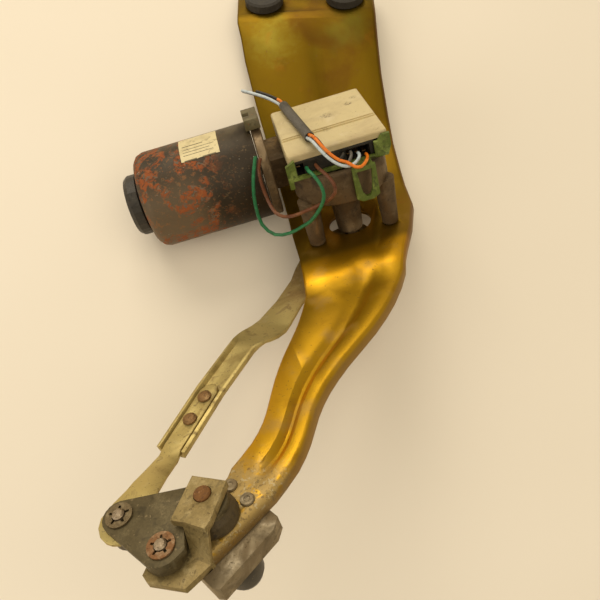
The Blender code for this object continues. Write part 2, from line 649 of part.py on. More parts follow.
# ---------------------------------------------------------------- gearbox
def make_gearbox():
    cast = material("cast_dirty", (0.34, 0.31, 0.26), 0.6, 0.62)
    obj = add("gearbox_housing", rod_solid(bmesh.new(), BOWL_R, BOWL_BASE, BOWL_TOP, 40, chamfer=1.2), cast)
    motor = (0, MOTOR_Y, MOTOR_Z)
    shape_with(obj, box(bmesh.new(), (-41.0, 27.6), (13.0, 45.5), (BOWL_BASE + 0.4, BOWL_TOP - 0.35)), "UNION")
    shape_with(obj, rod_solid(bmesh.new(), CAN_R, -44.0, FLANGE_FRONT, 36, motor, "X", 0.8), "UNION")
    boss = revolve(bmesh.new(), [(0, -3.2), (7.4, -3.2), (BOSS_R, -2.4), (9.6, BOWL_BASE + 1.5), (0, BOWL_BASE + 1.5)], 28)
    shape_with(obj, boss, "UNION")
    for x, y in POSTS:
        post = revolve(bmesh.new(), [(0, GAP), (4.6, GAP), (5.0, 0.8), (6.3, BOWL_BASE + 1), (0, BOWL_BASE + 1)], 16, (x, y, 0))
        shape_with(obj, post, "UNION")
    cavity = rod_solid(bmesh.new(), CAVITY_R, 34.0, BOWL_TOP + 2, 36)
    shape_with(obj, cavity)
    bores = rod_solid(bmesh.new(), 6.6, -50.0, 23.0, 24, motor, "X")
    rod_solid(bores, 3.4, 22.5, 30.0, 16, motor, "X")
    shape_with(obj, bores)
    bores = rod_solid(bmesh.new(), 6.3, -5.0, 35.0, 24)
    for x, y in POSTS:
        rod_solid(bores, 2.4, -1.0, 12.0, 10, (x, y, 0))
    shape_with(obj, bores)

    bronze = material("sintered_bronze", (0.42, 0.25, 0.12), 0.9, 0.5)
    add("front_bearing", ring_solid(bmesh.new(), 4.3, 6.3, -36.0, -30.0, 20, motor, "X"), bronze)
    add("output_bush", ring_solid(bmesh.new(), 4.8, 6.0, -2.8, 33.6, 20), bronze)
    steel = material("screw_steel", (0.5, 0.45, 0.3), 0.9, 0.45)
    thrust = rod_solid(bmesh.new(), 3.1, 23.4, 28.6, 16, motor, "X")
    add("thrust_screw", thrust, steel)
    for number, (x, y) in enumerate(POSTS, 1):
        head_top = -SHEET - GAP
        screw = slab(bmesh.new(), circle((x, y), 4.6, 6), head_top - 3.0, head_top)
        obj = add(f"mount_screw_{number}", screw, steel)
        shape_with(obj, rod_solid(bmesh.new(), 2.1, head_top - 1.0, 11.0, 10, (x, y, 0)), "UNION")


def make_cover():
    """Moulded lid over the worm wheel and the terminal chamber, open at the front for the connector."""
    cream = material("cover_cream", (0.74, 0.68, 0.54), 0.0, 0.55)
    obj = add("gearbox_cover", box(bmesh.new(), COVER_X, COVER_Y, (BOWL_TOP + GAP, COVER_TOP)), cream)
    bevel = obj.modifiers.new("round", "BEVEL")
    bevel.width = 1.6 * MM
    bevel.segments = 2
    bevel.limit_method = "ANGLE"
    inside = box(bmesh.new(), (COVER_X[0] + 2, COVER_X[1] - 2), (COVER_Y[0] + 2, COVER_Y[1] - 2), (BOWL_TOP - 2, COVER_TOP - 2.2))
    shape_with(obj, inside)
    front = box(bmesh.new(), (COVER_X[0] + 2, COVER_X[1] - 2), (COVER_Y[0] - 3, COVER_Y[0] + 4), (BOWL_TOP - 2, 60.5))
    shape_with(obj, front)
    step = box(bmesh.new(), (COVER_X[0] - 3, COVER_X[1] + 3), (COVER_Y[0] - 3, 1.0), (COVER_TOP - 0.9, COVER_TOP + 3))
    shape_with(obj, step)
    rib = box(bmesh.new(), (COVER_X[0] - 3, COVER_X[1] + 3), (1.8, 3.4), (COVER_TOP - 0.7, COVER_TOP + 3))
    shape_with(obj, rib)


def make_connector():
    black = material("connector_black", (0.03, 0.028, 0.027), 0.0, 0.5)
    face = COVER_Y[0] - 0.3
    x, z = (-26.6, 20.0), (BOWL_TOP + 0.6, 60.2)
    obj = add("connector_block", box(bmesh.new(), x, (face, -2.0), z), black)
    cavities = bmesh.new()
    for low, high in CAVITIES:
        box(cavities, (low, high), (face - 2, -8.0), (z[0] + 1.4, z[1] - 1.4))
    shape_with(obj, cavities)

    green = material("carrier_green", (0.16, 0.27, 0.08), 0.0, 0.5)
    stand = Matrix(((1, 0, 0), (0, 0, 1), (0, 1, 0))).to_4x4()
    plate = [(-31.5, 46.0), (-28.9, 46.0), (-28.9, 50.4), (26.5, 50.4), (28.6, 56.0), (28.6, 63.0), (24.0, 63.0)]
    plate += [(21.5, 59.8), (19.2, 59.8), (19.2, 52.4), (-26.0, 52.4), (-26.0, 62.5), (-31.5, 60.0)]
    obj = add("terminal_carrier", slab(bmesh.new(), plate, face - 2.6, face - 0.3, place=stand), green)
    arms = box(bmesh.new(), (4.0, 15.4), (-31.4, face - 1.5), (50.45, 52.2))
    shape_with(obj, arms, "UNION")
    tongue = [(3.0, 33.0), (6.2, 30.8), (12.6, 30.8), (16.4, 33.0), (16.4, 52.0), (3.0, 52.0)]
    window = [(5.4, 49.6), (14.2, 49.6), (12.6, 36.6), (11.0, 33.4), (8.6, 33.4), (6.8, 36.6)]
    tongue_bm = slab(bmesh.new(), tongue, -31.6, -29.4, [window], stand)
    shape_with(obj, tongue_bm, "UNION")


CAVITIES = [(-25.4, -21.2), (3.4, 16.8)]


# ---------------------------------------------------------------- motor
def make_motor():
    rusty = material("can_rusty", (0.12, 0.07, 0.045), 0.4, 0.7)
    motor = (0, MOTOR_Y, MOTOR_Z)
    inner = CAN_R - CAN_WALL
    back = CAN_BACK
    profile = [
        (CAN_R, CAN_FRONT), (CAN_R, back + 6), (CAN_R - 1.2, back + 2.4), (CAN_R - 4, back), (11, back), (11, back - 5),
        (7, back - 5), (7, back + CAN_WALL), (inner - 3.2, back + CAN_WALL), (inner - 1, back + 4), (inner, back + 6.4),
        (inner, CAN_FRONT),
    ]
    add("motor_can", revolve(bmesh.new(), profile, 32, motor, "X"), rusty)
    rubber = material("end_cap_rubber", (0.03, 0.035, 0.05), 0.0, 0.7)
    lip = back - GAP
    add("end_cap", revolve(bmesh.new(), [
        (11.3, lip), (17.4, lip), (17.4, lip - 1.6), (19.0, lip - 2.2), (19.0, lip - 7.4), (17.2, lip - 9.8),
        (0, lip - 9.8), (0, lip - 6.0), (11.3, lip - 6.0),
    ], 28, motor, "X"), rubber)
    bronze = material("sintered_bronze", (0.42, 0.25, 0.12), 0.9, 0.5)
    add("rear_bearing", ring_solid(bmesh.new(), 4.3, 6.7, back - 4.6, back + 1.6, 20, motor, "X"), bronze)

    ferrite = material("ferrite", (0.07, 0.07, 0.075), 0.0, 0.8)
    turn = Matrix(((0, 0, 1), (1, 0, 0), (0, 1, 0))).to_4x4()
    for name, middle in (("upper", 90), ("lower", -90)):
        span = math.radians(120)
        start = math.radians(middle) - span / 2
        axis = (MOTOR_Y, MOTOR_Z)
        outline = circle(axis, 27.7, 11, start, span) + circle(axis, 22.8, 11, start, span)[::-1]
        add(f"magnet_{name}", slab(bmesh.new(), outline, back + 8.0, -64.0, place=turn), ferrite)

    board = material("brush_board", (0.2, 0.12, 0.05), 0.0, 0.6)
    plate = slab(bmesh.new(), circle((MOTOR_Y, MOTOR_Z), 27.6, 28), -47.2, -44.8,
                 [circle((MOTOR_Y, MOTOR_Z), 13.0, 20)], turn)
    obj = add("brush_plate", plate, board)
    carbon = material("carbon", (0.05, 0.05, 0.05), 0.2, 0.7)
    for name, sign in (("lower", -1), ("upper", 1)):
        outer = [(-3.6, -56.0), (3.6, -56.0), (3.6, -46.0), (-3.6, -46.0)]
        hollow = [(-2.8, -55.2), (2.8, -55.2), (2.8, -48.3), (-2.8, -48.3)]
        radial = Matrix(((0, 1, 0, 0), (0, 0, sign, MOTOR_Y), (1, 0, 0, MOTOR_Z), (0, 0, 0, 1)))
        shape_with(obj, slab(bmesh.new(), outer, 14.0, 25.5, [hollow], radial), "UNION")
        brush = slab(bmesh.new(), [(-2.5, -54.9), (2.5, -54.9), (2.5, -48.6), (-2.5, -48.6)], 11.5, 22.0, place=radial)
        add(f"brush_{name}", brush, carbon)

    block = slab(bmesh.new(), [
        (-46.5, 16.0), (-37.5, 16.0), (-37.5, 34.0), (-46.5, 34.0), (-46.5, 27.5), (-42.5, 27.5), (-42.5, 22.5),
        (-46.5, 22.5),
    ], MOTOR_Z + CAN_R + GAP, MOTOR_Z + CAN_R + 7.0)
    add("brush_terminal_block", block, material("block_dark", (0.06, 0.058, 0.05), 0.0, 0.6))


SLOT_MIDDLE = math.pi / 10


def make_armature():
    steel = material("shaft_steel", (0.5, 0.49, 0.47), 1.0, 0.3)
    motor = (0, MOTOR_Y, MOTOR_Z)
    root = WORM_PITCH_R - 1.1
    shaft = revolve(bmesh.new(), [
        (0, CAN_BACK - 4), (SHAFT_R, CAN_BACK - 4), (SHAFT_R, -18.0), (root, -16.5), (root, 16.5), (SHAFT_R - 1, 17.0),
        (SHAFT_R - 1, 22.6), (0, 23.0),
    ], 16, motor, "X")
    obj = add("armature_shaft", shaft, steel, "armature")
    shape_with(obj, worm_thread(root), "UNION", "armature")
    turn = Matrix(((0, 0, 1), (1, 0, 0), (0, 1, 0))).to_4x4()
    slots = 10
    outline = []
    tooth = [(15.5, -0.22), (21.0, -0.22), (22.2, -0.26), (22.2, 0.0), (22.2, 0.26), (21.0, 0.22), (15.5, 0.22)]
    for k in range(slots):
        start = 2 * math.pi * k / slots
        outline += [(r * math.cos(start + a) + MOTOR_Y, r * math.sin(start + a) + MOTOR_Z) for r, a in tooth]
    core = slab(bmesh.new(), outline, CAN_BACK + 14, -70.0, [circle((MOTOR_Y, MOTOR_Z), SHAFT_R + GAP, 16)], turn)
    add("armature_core", core, material("lamination", (0.3, 0.29, 0.28), 0.9, 0.45), "armature")
    copper = material("enamel_copper", (0.5, 0.19, 0.07), 0.8, 0.4)
    obj = add("armature_windings", revolve(bmesh.new(), [
        (5.0, CAN_BACK + 6.5), (16.5, CAN_BACK + 6.5), (19.5, CAN_BACK + 9), (19.5, CAN_BACK + 13.7),
        (5.0, CAN_BACK + 13.7),
    ], 20, motor, "X"), copper, "armature")
    shape_with(obj, revolve(bmesh.new(), [
        (5.0, -69.7), (19.5, -69.7), (19.5, -64.4), (16.5, -62.0), (5.0, -62.0),
    ], 20, motor, "X"), "UNION", "armature")
    bundles = bmesh.new()
    for k in range(slots):
        middle = 2 * math.pi * k / slots + SLOT_MIDDLE
        axis = (MOTOR_Y + 18.0 * math.cos(middle), MOTOR_Z + 18.0 * math.sin(middle))
        rod_solid(bundles, 0.9, CAN_BACK + 12, -68.0, 6, (0, *axis), "X")
    shape_with(obj, bundles, "UNION", "armature")
    bars = []
    count = 10
    for k in range(count):
        start = 2 * math.pi * k / count
        bars += [(r * math.cos(start + a) + MOTOR_Y, r * math.sin(start + a) + MOTOR_Z)
                 for r, a in ((11.1, 0.05), (11.1, 0.56), (10.2, 0.57), (10.2, 0.68))]
    comm = slab(bmesh.new(), bars, -60.0, -48.0, [circle((MOTOR_Y, MOTOR_Z), SHAFT_R + GAP, 16)], turn)
    add("commutator", comm, material("copper", (0.65, 0.32, 0.18), 1.0, 0.35), "armature")


def worm_thread(root):
    """One trapezoid thread wound along the shaft, with flat ends."""
    bm = bmesh.new()
    steps, half_length = 10, 12.0
    count = int(2 * half_length / LEAD * steps)
    section = [(root - 0.5, -0.95), (WORM_PITCH_R + 0.8, -0.32), (WORM_PITCH_R + 0.8, 0.32), (root - 0.5, 0.95)]
    rings = []
    for i in range(count + 1):
        angle = 2 * math.pi * (i - count / 2) / steps
        middle = LEAD * (i - count / 2) / steps
        rings.append([
            bm.verts.new((middle + x, MOTOR_Y + r * math.cos(angle + WORM_PHASE), MOTOR_Z + r * math.sin(angle + WORM_PHASE)))
            for r, x in section
        ])
    for a, b in zip(rings, rings[1:]):
        for k in range(4):
            bm.faces.new([a[k], a[(k + 1) % 4], b[(k + 1) % 4], b[k]])
    bm.faces.new(rings[0])
    bm.faces.new(rings[-1])
    return bm


WORM_PHASE = math.pi  # a thread crest points at the wheel's gap at mid-length


# ---------------------------------------------------------------- worm wheel and crank
def make_wheel_and_crank():
    nylon = material("wheel_nylon", (0.62, 0.58, 0.45), 0.0, 0.5)
    pitch = 2 * math.pi / WHEEL_TEETH
    half_width = 4.0
    twist = half_width * math.tan(LEAD_ANGLE) / WHEEL_PITCH_R
    tooth = [(WHEEL_PITCH_R - 1.1, -0.30), (WHEEL_PITCH_R + 0.8, -0.11), (WHEEL_PITCH_R + 0.8, 0.11),
             (WHEEL_PITCH_R - 1.1, 0.30)]
    bm = bmesh.new()
    layers = []
    for height, turn in ((-half_width, -twist), (half_width, twist)):
        layer = []
        for k in range(WHEEL_TEETH):
            base = math.pi / 2 + pitch * (k + 0.5) + turn
            layer += [bm.verts.new((r * math.cos(base + a * pitch), r * math.sin(base + a * pitch), MOTOR_Z + height))
                      for r, a in tooth]
        inner = [bm.verts.new((OUTPUT_R + GAP) * Vector((math.cos(a), math.sin(a), 0)) + Vector((0, 0, MOTOR_Z + height)))
                 for a in (2 * math.pi * i / WHEEL_TEETH for i in range(WHEEL_TEETH))]
        rim_web = [bm.verts.new(16.0 * Vector((math.cos(a), math.sin(a), 0)) + Vector((0, 0, MOTOR_Z + height)))
                   for a in (2 * math.pi * i / WHEEL_TEETH + math.pi / 2 for i in range(WHEEL_TEETH))]
        layers.append((layer, inner, rim_web))
    (low_t, low_i, low_r), (high_t, high_i, high_r) = layers
    n = len(low_t)
    for i in range(n):
        j = (i + 1) % n
        bm.faces.new([low_t[i], low_t[j], high_t[j], high_t[i]])
    for k in range(WHEEL_TEETH):
        j = (k + 1) % WHEEL_TEETH
        q = (k + WHEEL_TEETH // 4) % WHEEL_TEETH
        q2 = (q + 1) % WHEEL_TEETH
        bm.faces.new([low_i[k], low_i[j], high_i[j], high_i[k]])
        for tooth_ring, rim in ((low_t, low_r), (high_t, high_r)):
            bm.faces.new([rim[k], tooth_ring[4 * k], tooth_ring[4 * k + 1], tooth_ring[4 * k + 2], tooth_ring[4 * k + 3]])
            bm.faces.new([rim[k], tooth_ring[4 * k + 3], tooth_ring[(4 * k + 4) % n], rim[j]])
        for ring, rim in ((low_i, low_r), (high_i, high_r)):
            bm.faces.new([ring[q], ring[q2], rim[j], rim[k]])
    add("worm_wheel", bm, nylon, "crank")

    steel = material("shaft_steel", (0.5, 0.49, 0.47), 1.0, 0.3)
    add("output_shaft", revolve(bmesh.new(), [
        (0, -17.5), (3.9, -17.5), (OUTPUT_R, -16.8), (OUTPUT_R, 47.0), (4.0, 47.6), (0, 47.6),
    ], 20), steel, "crank")
    plated = material("crank_plated", (0.45, 0.4, 0.24), 0.85, 0.42)
    top, base = CRANK_TOP, CRANK_TOP - CRANK_THICK
    outline = hull_of_circles([((0, 0), 11.0), (CRANK_PIN, 8.5)])
    arm = slab(bmesh.new(), outline, base, top, [circle((0, 0), OUTPUT_R + GAP, 20), circle(CRANK_PIN, 3.8, 16)])
    add("crank_arm", arm, plated, "crank")
    nut = slab(bmesh.new(), circle((0, 0), 7.5, 6), base - GAP - 4.2, base - GAP, [circle((0, 0), OUTPUT_R + GAP, 20)])
    add("crank_nut", nut, steel, "crank")
    stub = revolve(bmesh.new(), [
        (0, -17.7), (3.5, -17.7), (3.5, base - GAP - 1.5), (6.0, base - GAP - 1.5), (6.0, base - GAP),
        (3.5, base - GAP), (3.5, top + 0.2), (0, top + 0.2),
    ], 16, (*CRANK_PIN, 0))
    add("crank_stub", stub, steel, "crank")


# ---------------------------------------------------------------- wiring
LEADS = {
    "lead_green": ((0.03, 0.2, 0.08), [
        (-45.4, -2.8, 62.6), (-48.2, -6.5, 57.5), (-51.4, -9.0, 48.5), (-53.6, -10.0, 36.8), (-53.4, -11.0, 23.4),
        (-47.6, -14.4, 15.9), (-38.9, -20.0, 17.4), (-31.0, -26.0, 23.0), (-25.6, -30.0, 27.4), (-20.8, -33.0, 33.3),
        (-17.4, -35.0, 39.0), (-15.4, -36.0, 44.6), (-15.8, -34.6, 50.4), (-17.8, -30.5, 54.6), (-19.6, -25.6, 55.9),
        (-19.9, -20.9, 55.9),
    ]),
    "lead_brown": ((0.16, 0.05, 0.02), [
        (-43.0, -2.6, 60.6), (-45.8, -5.6, 56.0), (-46.6, -7.6, 48.4), (-46.2, -9.0, 40.4), (-45.2, -11.6, 34.4),
        (-43.4, -15.0, 30.4), (-39.6, -19.6, 29.2), (-34.2, -24.0, 30.4), (-28.0, -27.4, 33.0), (-21.0, -31.0, 36.0),
        (-14.0, -34.0, 39.4), (-9.0, -35.4, 43.8), (-8.8, -34.8, 49.2), (-11.4, -31.2, 54.0), (-14.0, -26.4, 55.9),
        (-14.6, -20.9, 55.9),
    ]),
}
LEAD_DIAMETER = 2.1
WIRE_DIAMETER = 1.8
BUNDLE = [  # middle line of the four harness wires, from in front of the connector to their cut ends
    (0.5, -33.0, 57.2), (-3.5, -32.6, 59.6), (-7.2, -31.0, 63.4), (-10.0, -28.0, 67.4), (-11.8, -23.6, 70.4),
    (-12.9, -17.5, 70.2), (-13.4, -11.0, 68.1), (-16.5, 16.5, 68.1), (-19.6, 44.0, 68.1), (-22.0, 51.5, 68.9),
    (-27.0, 59.0, 71.0), (-34.0, 65.5, 73.6), (-41.0, 70.5, 76.0),
]
BUNDLE_SIDE = Vector((0.72, 0.28, 0.64))  # one side of the square that the four wires make
SLEEVED = (6, 8)  # the sleeve runs between these points of the bundle
WIRES = {  # colour, way out of the connector, corner of the square, first and last bundle point used
    "wire_orange": ((0.75, 0.2, 0.03), [
        (14.2, -20.9, 53.6), (13.9, -26.0, 54.2), (11.5, -31.6, 54.6), (7.8, -35.6, 54.6), (4.2, -36.6, 56.2),
    ], (1, 1), 0, 10),
    "wire_white": ((0.62, 0.66, 0.68), [
        (9.9, -20.9, 55.6), (9.6, -26.0, 56.6), (7.6, -30.4, 56.4), (4.0, -32.2, 55.4),
    ], (-1, 1), 0, 13),
    "wire_grey": ((0.34, 0.36, 0.4), [
        (5.8, -20.9, 57.4), (5.4, -25.6, 58.6), (3.8, -29.4, 57.8),
    ], (-1, -1), 0, 13),
    "wire_black": ((0.02, 0.02, 0.022), [
        (1.6, -20.9, 57.4), (1.2, -25.0, 59.4), (0.0, -28.8, 60.2),
    ], (1, -1), 1, 12),
}


def bundle_points(corner, first, last):
    """Points of one wire of the bundle, at its corner of the square."""
    middle = [Vector(p) for p in BUNDLE]
    points = []
    for k in range(first, last):
        along = (middle[min(k + 1, len(middle) - 1)] - middle[max(k - 1, 0)]).normalized()
        front = BUNDLE_SIDE.cross(along).normalized()
        side = along.cross(front)
        points.append(tuple(middle[k] + 1.07 * (corner[0] * side + corner[1] * front)))
    return points


def make_wiring():
    for name, (color, route) in LEADS.items():
        wire(name, route, LEAD_DIAMETER, material(name + "_pvc", color, 0.0, 0.4), 2)
    for name, (color, route, corner, start, stop) in WIRES.items():
        points = route + bundle_points(corner, start, stop)
        wire(name, points, WIRE_DIAMETER, material(name + "_pvc", color, 0.0, 0.4))
    first, last = (Vector(BUNDLE[k]) for k in SLEEVED)
    length = (last - first).length
    tube = ring_solid(bmesh.new(), 2.55, 2.95, 0.0, length, 16)
    turn = (last - first).to_track_quat("Z", "Y").to_matrix().to_4x4()
    bmesh.ops.transform(tube, matrix=Matrix.Translation(first) @ turn, verts=tube.verts)
    add("wire_sleeve", tube, material("sleeve_black", (0.035, 0.033, 0.032), 0.0, 0.6))


# ---------------------------------------------------------------- resting pose
def world_points():
    bpy.context.view_layer.update()
    graph = bpy.context.evaluated_depsgraph_get()
    for obj in bpy.data.objects:
        if obj.type not in {"MESH", "CURVE"} or obj.hide_render:
            continue
        shown = obj.evaluated_get(graph)
        mesh = shown.to_mesh()
        yield from (shown.matrix_world @ v.co for v in mesh.vertices)
        shown.to_mesh_clear()


def lay_down():
    """Turn the assembly so that its three rest points share one level, then centre it on the floor."""
    a, b, c = (Vector(p) for p in REST_POINTS)
    up = (b - a).cross(c - a).normalized()
    if up.z < 0:
        up = -up
    forward = (Vector((0, 1, 0)) - up * up.y).normalized()
    right = forward.cross(up)
    turn = Matrix((right, forward, up)).to_4x4()
    empties["frame"].matrix_world = turn
    points = list(world_points())
    low = Vector([min(p[i] for p in points) for i in range(3)])
    high = Vector([max(p[i] for p in points) for i in range(3)])
    shift = Vector((-(low.x + high.x) / 2, -(low.y + high.y) / 2, -low.z))
    empties["frame"].matrix_world = Matrix.Translation(shift) @ turn


def main():
    clear_scene()
    make_empties()
    make_bracket()
    make_grommets()
    make_pivot_housing()
    make_lever()
    make_rod()
    make_gearbox()
    make_cover()
    make_connector()
    make_motor()
    make_armature()
    make_wheel_and_crank()
    make_wiring()
    lay_down()


main()
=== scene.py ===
import json
import math
import bmesh
import bpy
from mathutils import Matrix, Vector


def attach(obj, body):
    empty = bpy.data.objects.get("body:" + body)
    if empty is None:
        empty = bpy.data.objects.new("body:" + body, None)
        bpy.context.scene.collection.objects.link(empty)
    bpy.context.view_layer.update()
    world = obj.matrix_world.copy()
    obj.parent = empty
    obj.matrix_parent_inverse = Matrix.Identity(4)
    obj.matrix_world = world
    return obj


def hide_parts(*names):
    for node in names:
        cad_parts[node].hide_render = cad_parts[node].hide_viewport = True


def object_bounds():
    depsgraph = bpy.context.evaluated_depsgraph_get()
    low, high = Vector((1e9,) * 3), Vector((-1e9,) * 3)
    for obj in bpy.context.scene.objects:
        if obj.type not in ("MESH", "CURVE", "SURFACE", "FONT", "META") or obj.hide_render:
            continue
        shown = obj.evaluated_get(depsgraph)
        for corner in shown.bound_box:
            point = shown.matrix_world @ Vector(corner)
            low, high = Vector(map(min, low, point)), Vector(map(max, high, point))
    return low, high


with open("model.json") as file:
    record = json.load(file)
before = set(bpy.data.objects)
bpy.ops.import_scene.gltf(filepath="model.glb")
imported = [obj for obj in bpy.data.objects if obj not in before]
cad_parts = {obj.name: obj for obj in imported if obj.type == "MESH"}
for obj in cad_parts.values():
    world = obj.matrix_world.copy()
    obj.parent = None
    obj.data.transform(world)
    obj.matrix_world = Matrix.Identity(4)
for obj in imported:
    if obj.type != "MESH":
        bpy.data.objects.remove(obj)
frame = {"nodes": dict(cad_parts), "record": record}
CAD_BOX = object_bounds()
NODES = frame["nodes"]
MM = 0.001


# ---------------------------------------------------------------- the drive's own frame
JOINTS = {j["name"]: j for j in frame["record"]["behaviour"]["joints"]}
ORIGIN = Vector(JOINTS["crank_turn"]["pos_m"])
AXIS_Z = Vector(JOINTS["crank_turn"]["axis"]).normalized()
AXIS_X = -Vector(JOINTS["armature_spin"]["axis"]).normalized()
AXIS_Y = AXIS_Z.cross(AXIS_X).normalized()
TURN = Matrix((AXIS_X, AXIS_Y, AXIS_Z)).transposed().to_4x4()
PLACE = Matrix.Translation(ORIGIN) @ TURN  # X along the motor, Z along the output shaft, in metres


def at(x, y, z):
    """World point of a place given in millimetres from the crank's centre."""
    return PLACE @ (Vector((x, y, z)) * MM)


# ---------------------------------------------------------------- camera
SENSOR_MM = 36.0
LENS_MM = 38.58
EYE = (-44.5, -345.8, 220.9)
camera_data = bpy.data.cameras.new("camera")
camera_data.sensor_width = SENSOR_MM
camera_data.lens = LENS_MM
camera_data.clip_start = 0.01
camera = bpy.data.objects.new("camera", camera_data)
bpy.context.scene.collection.objects.link(camera)
right = TURN.to_3x3() @ Vector((0.959, -0.175, -0.227))
ahead = TURN.to_3x3() @ Vector((0.0, 0.789, -0.615))
right = (right - ahead * right.dot(ahead) / ahead.length_squared).normalized()
ahead.normalize()
above = right.cross(ahead)
look = Matrix((right, above, -ahead)).transposed().to_4x4()
camera.matrix_world = Matrix.Translation(at(*EYE)) @ look
bpy.context.scene.camera = camera


# ---------------------------------------------------------------- material tools
SHEEN = 0.36
SHEEN_COLOR = (1.0, 0.9, 0.72)


class Paint:
    """Builds one node material in the object's own coordinates, which are metres in the world at rest."""

    def __init__(self, name, color, metallic, rough):
        self.mat = bpy.data.materials.new(name)
        self.mat.use_nodes = True
        self.tree = self.mat.node_tree
        self.shader = self.tree.nodes["Principled BSDF"]
        coord = self.tree.nodes.new("ShaderNodeTexCoord")
        self.place = coord.outputs["Object"]
        self.color = self.solid(color)
        self.metal = metallic
        self.rough = rough
        self.normal = None

    def solid(self, color):
        node = self.tree.nodes.new("ShaderNodeRGB")
        node.outputs[0].default_value = (*color, 1.0)
        return node.outputs[0]

    def put(self, socket, value):
        if isinstance(value, bpy.types.NodeSocket):
            self.tree.links.new(value, socket)
        else:
            socket.default_value = value

    def math(self, operation, a, b=0.0):
        node = self.tree.nodes.new("ShaderNodeMath")
        node.operation = operation
        self.put(node.inputs[0], a)
        self.put(node.inputs[1], b)
        return node.outputs[0]

    def noise(self, scale, detail=4.0, distortion=0.0, roughness=0.55):
        node = self.tree.nodes.new("ShaderNodeTexNoise")
        self.put(node.inputs["Vector"], self.place)
        node.inputs["Scale"].default_value = scale
        node.inputs["Detail"].default_value = detail
        node.inputs["Roughness"].default_value = roughness
        node.inputs["Distortion"].default_value = distortion
        return node.outputs["Fac"]

    def cells(self, scale):
        node = self.tree.nodes.new("ShaderNodeTexVoronoi")
        self.put(node.inputs["Vector"], self.place)
        node.inputs["Scale"].default_value = scale
        return node.outputs["Distance"]

    def between(self, value, low, high):
        node = self.tree.nodes.new("ShaderNodeMapRange")
        node.interpolation_type = "SMOOTHSTEP"
        self.put(node.inputs["Value"], value)
        node.inputs["From Min"].default_value = low
        node.inputs["From Max"].default_value = high
        return node.outputs[0]

    def along(self, start, end):
        """0 at one place and 1 at another, both in millimetres from the crank's centre."""
        a, b = at(*start), at(*end)
        step = b - a
        node = self.tree.nodes.new("ShaderNodeVectorMath")
        node.operation = "DOT_PRODUCT"
        self.put(node.inputs[0], self.place)
        node.inputs[1].default_value = step / step.length_squared
        shift = a.dot(step) / step.length_squared
        return self.between(node.outputs["Value"], shift, shift + 1.0)

    def near(self, spot, radius, soft=0.6):
        """1 around a place given in millimetres, falling to 0 at radius, with a ragged rim."""
        node = self.tree.nodes.new("ShaderNodeVectorMath")
        node.operation = "DISTANCE"
        self.put(node.inputs[0], self.place)
        node.inputs[1].default_value = at(*spot)
        ragged = self.math("MULTIPLY_ADD", self.noise(260.0, 3.0), radius * MM * 0.9)
        ragged.node.inputs[2].default_value = -radius * MM * 0.45
        far = self.math("ADD", node.outputs["Value"], ragged)
        return self.between(far, radius * MM, radius * MM * (1.0 - soft))

    def layer(self, mask, color, amount=1.0, metal=None, rough=None):
        if amount != 1.0:
            mask = self.math("MULTIPLY", mask, amount)
        mix = self.tree.nodes.new("ShaderNodeMix")
        mix.data_type = "RGBA"
        self.put(mix.inputs["Factor"], mask)
        self.put(mix.inputs["A"], self.color)
        mix.inputs["B"].default_value = (*color, 1.0)
        self.color = mix.outputs["Result"]
        if metal is not None:
            self.metal = self.blend(mask, self.metal, metal)
        if rough is not None:
            self.rough = self.blend(mask, self.rough, rough)

    def blend(self, mask, a, b):
        mix = self.tree.nodes.new("ShaderNodeMix")
        self.put(mix.inputs["Factor"], mask)
        self.put(mix.inputs["A"], a)
        self.put(mix.inputs["B"], b)
        return mix.outputs["Result"]

    def bump(self, height, depth_mm, strength=1.0):
        node = self.tree.nodes.new("ShaderNodeBump")
        node.inputs["Strength"].default_value = strength
        node.inputs["Distance"].default_value = depth_mm * MM
        self.put(node.inputs["Height"], height)
        if self.normal:
            self.put(node.inputs["Normal"], self.normal)
        self.normal = node.outputs[0]

    def finish(self):
        self.put(self.shader.inputs["Base Color"], self.color)
        self.put(self.shader.inputs["Metallic"], self.metal)
        self.put(self.shader.inputs["Roughness"], self.rough)
        if self.normal:
            self.put(self.shader.inputs["Normal"], self.normal)
        self.shader.inputs["Specular IOR Level"].default_value = SHEEN
        self.shader.inputs["Specular Tint"].default_value = (*SHEEN_COLOR, 1.0)
        return self.mat


LOOKS = {}


def simple(slot, color, metallic, rough, light, dark, scale=90.0, grain=0.05, grit=900.0, wear=None):
    """General surface: light and dark clouds, uneven roughness, fine grain and optional wear specks."""
    paint = Paint(slot + "_look", color, metallic, rough)
    cloud = paint.noise(scale, 5.0, 0.4)
    paint.layer(paint.between(cloud, 0.48, 0.68), light, 0.75, rough=min(rough + 0.12, 1.0))
    blotch = paint.between(paint.noise(scale * 2.3, 5.0, 0.8), 0.52, 0.7)
    paint.layer(blotch, dark, 0.8, rough=max(rough - 0.08, 0.05))
    if wear:
        specks = paint.between(paint.noise(grit * 0.7, 3.0, 0.0, 0.7), 0.6, 0.68)
        paint.layer(specks, wear, 0.8)
    powder = paint.between(paint.noise(grit * 1.5, 3.0, 0.0, 0.75), 0.4, 0.62)
    paint.layer(powder, tuple(c * 0.66 for c in color), 0.45)
    paint.bump(paint.noise(grit, 3.0), grain)
    paint.bump(paint.noise(scale * 1.3, 3.0), grain * 3.0, 0.5)
    LOOKS[slot] = paint.finish()


# ---------------------------------------------------------------- materials of the big pieces
def facing(paint, direction, low, high):
    """1 where the surface looks along a direction of the drive's frame; used to paint shade on faces turned
    that way.
    """
    coord = paint.tree.nodes.new("ShaderNodeTexCoord")
    dot = paint.tree.nodes.new("ShaderNodeVectorMath")
    dot.operation = "DOT_PRODUCT"
    paint.put(dot.inputs[0], coord.outputs["Normal"])
    dot.inputs[1].default_value = (TURN.to_3x3() @ Vector(direction)).normalized()
    return paint.between(dot.outputs["Value"], low, high)


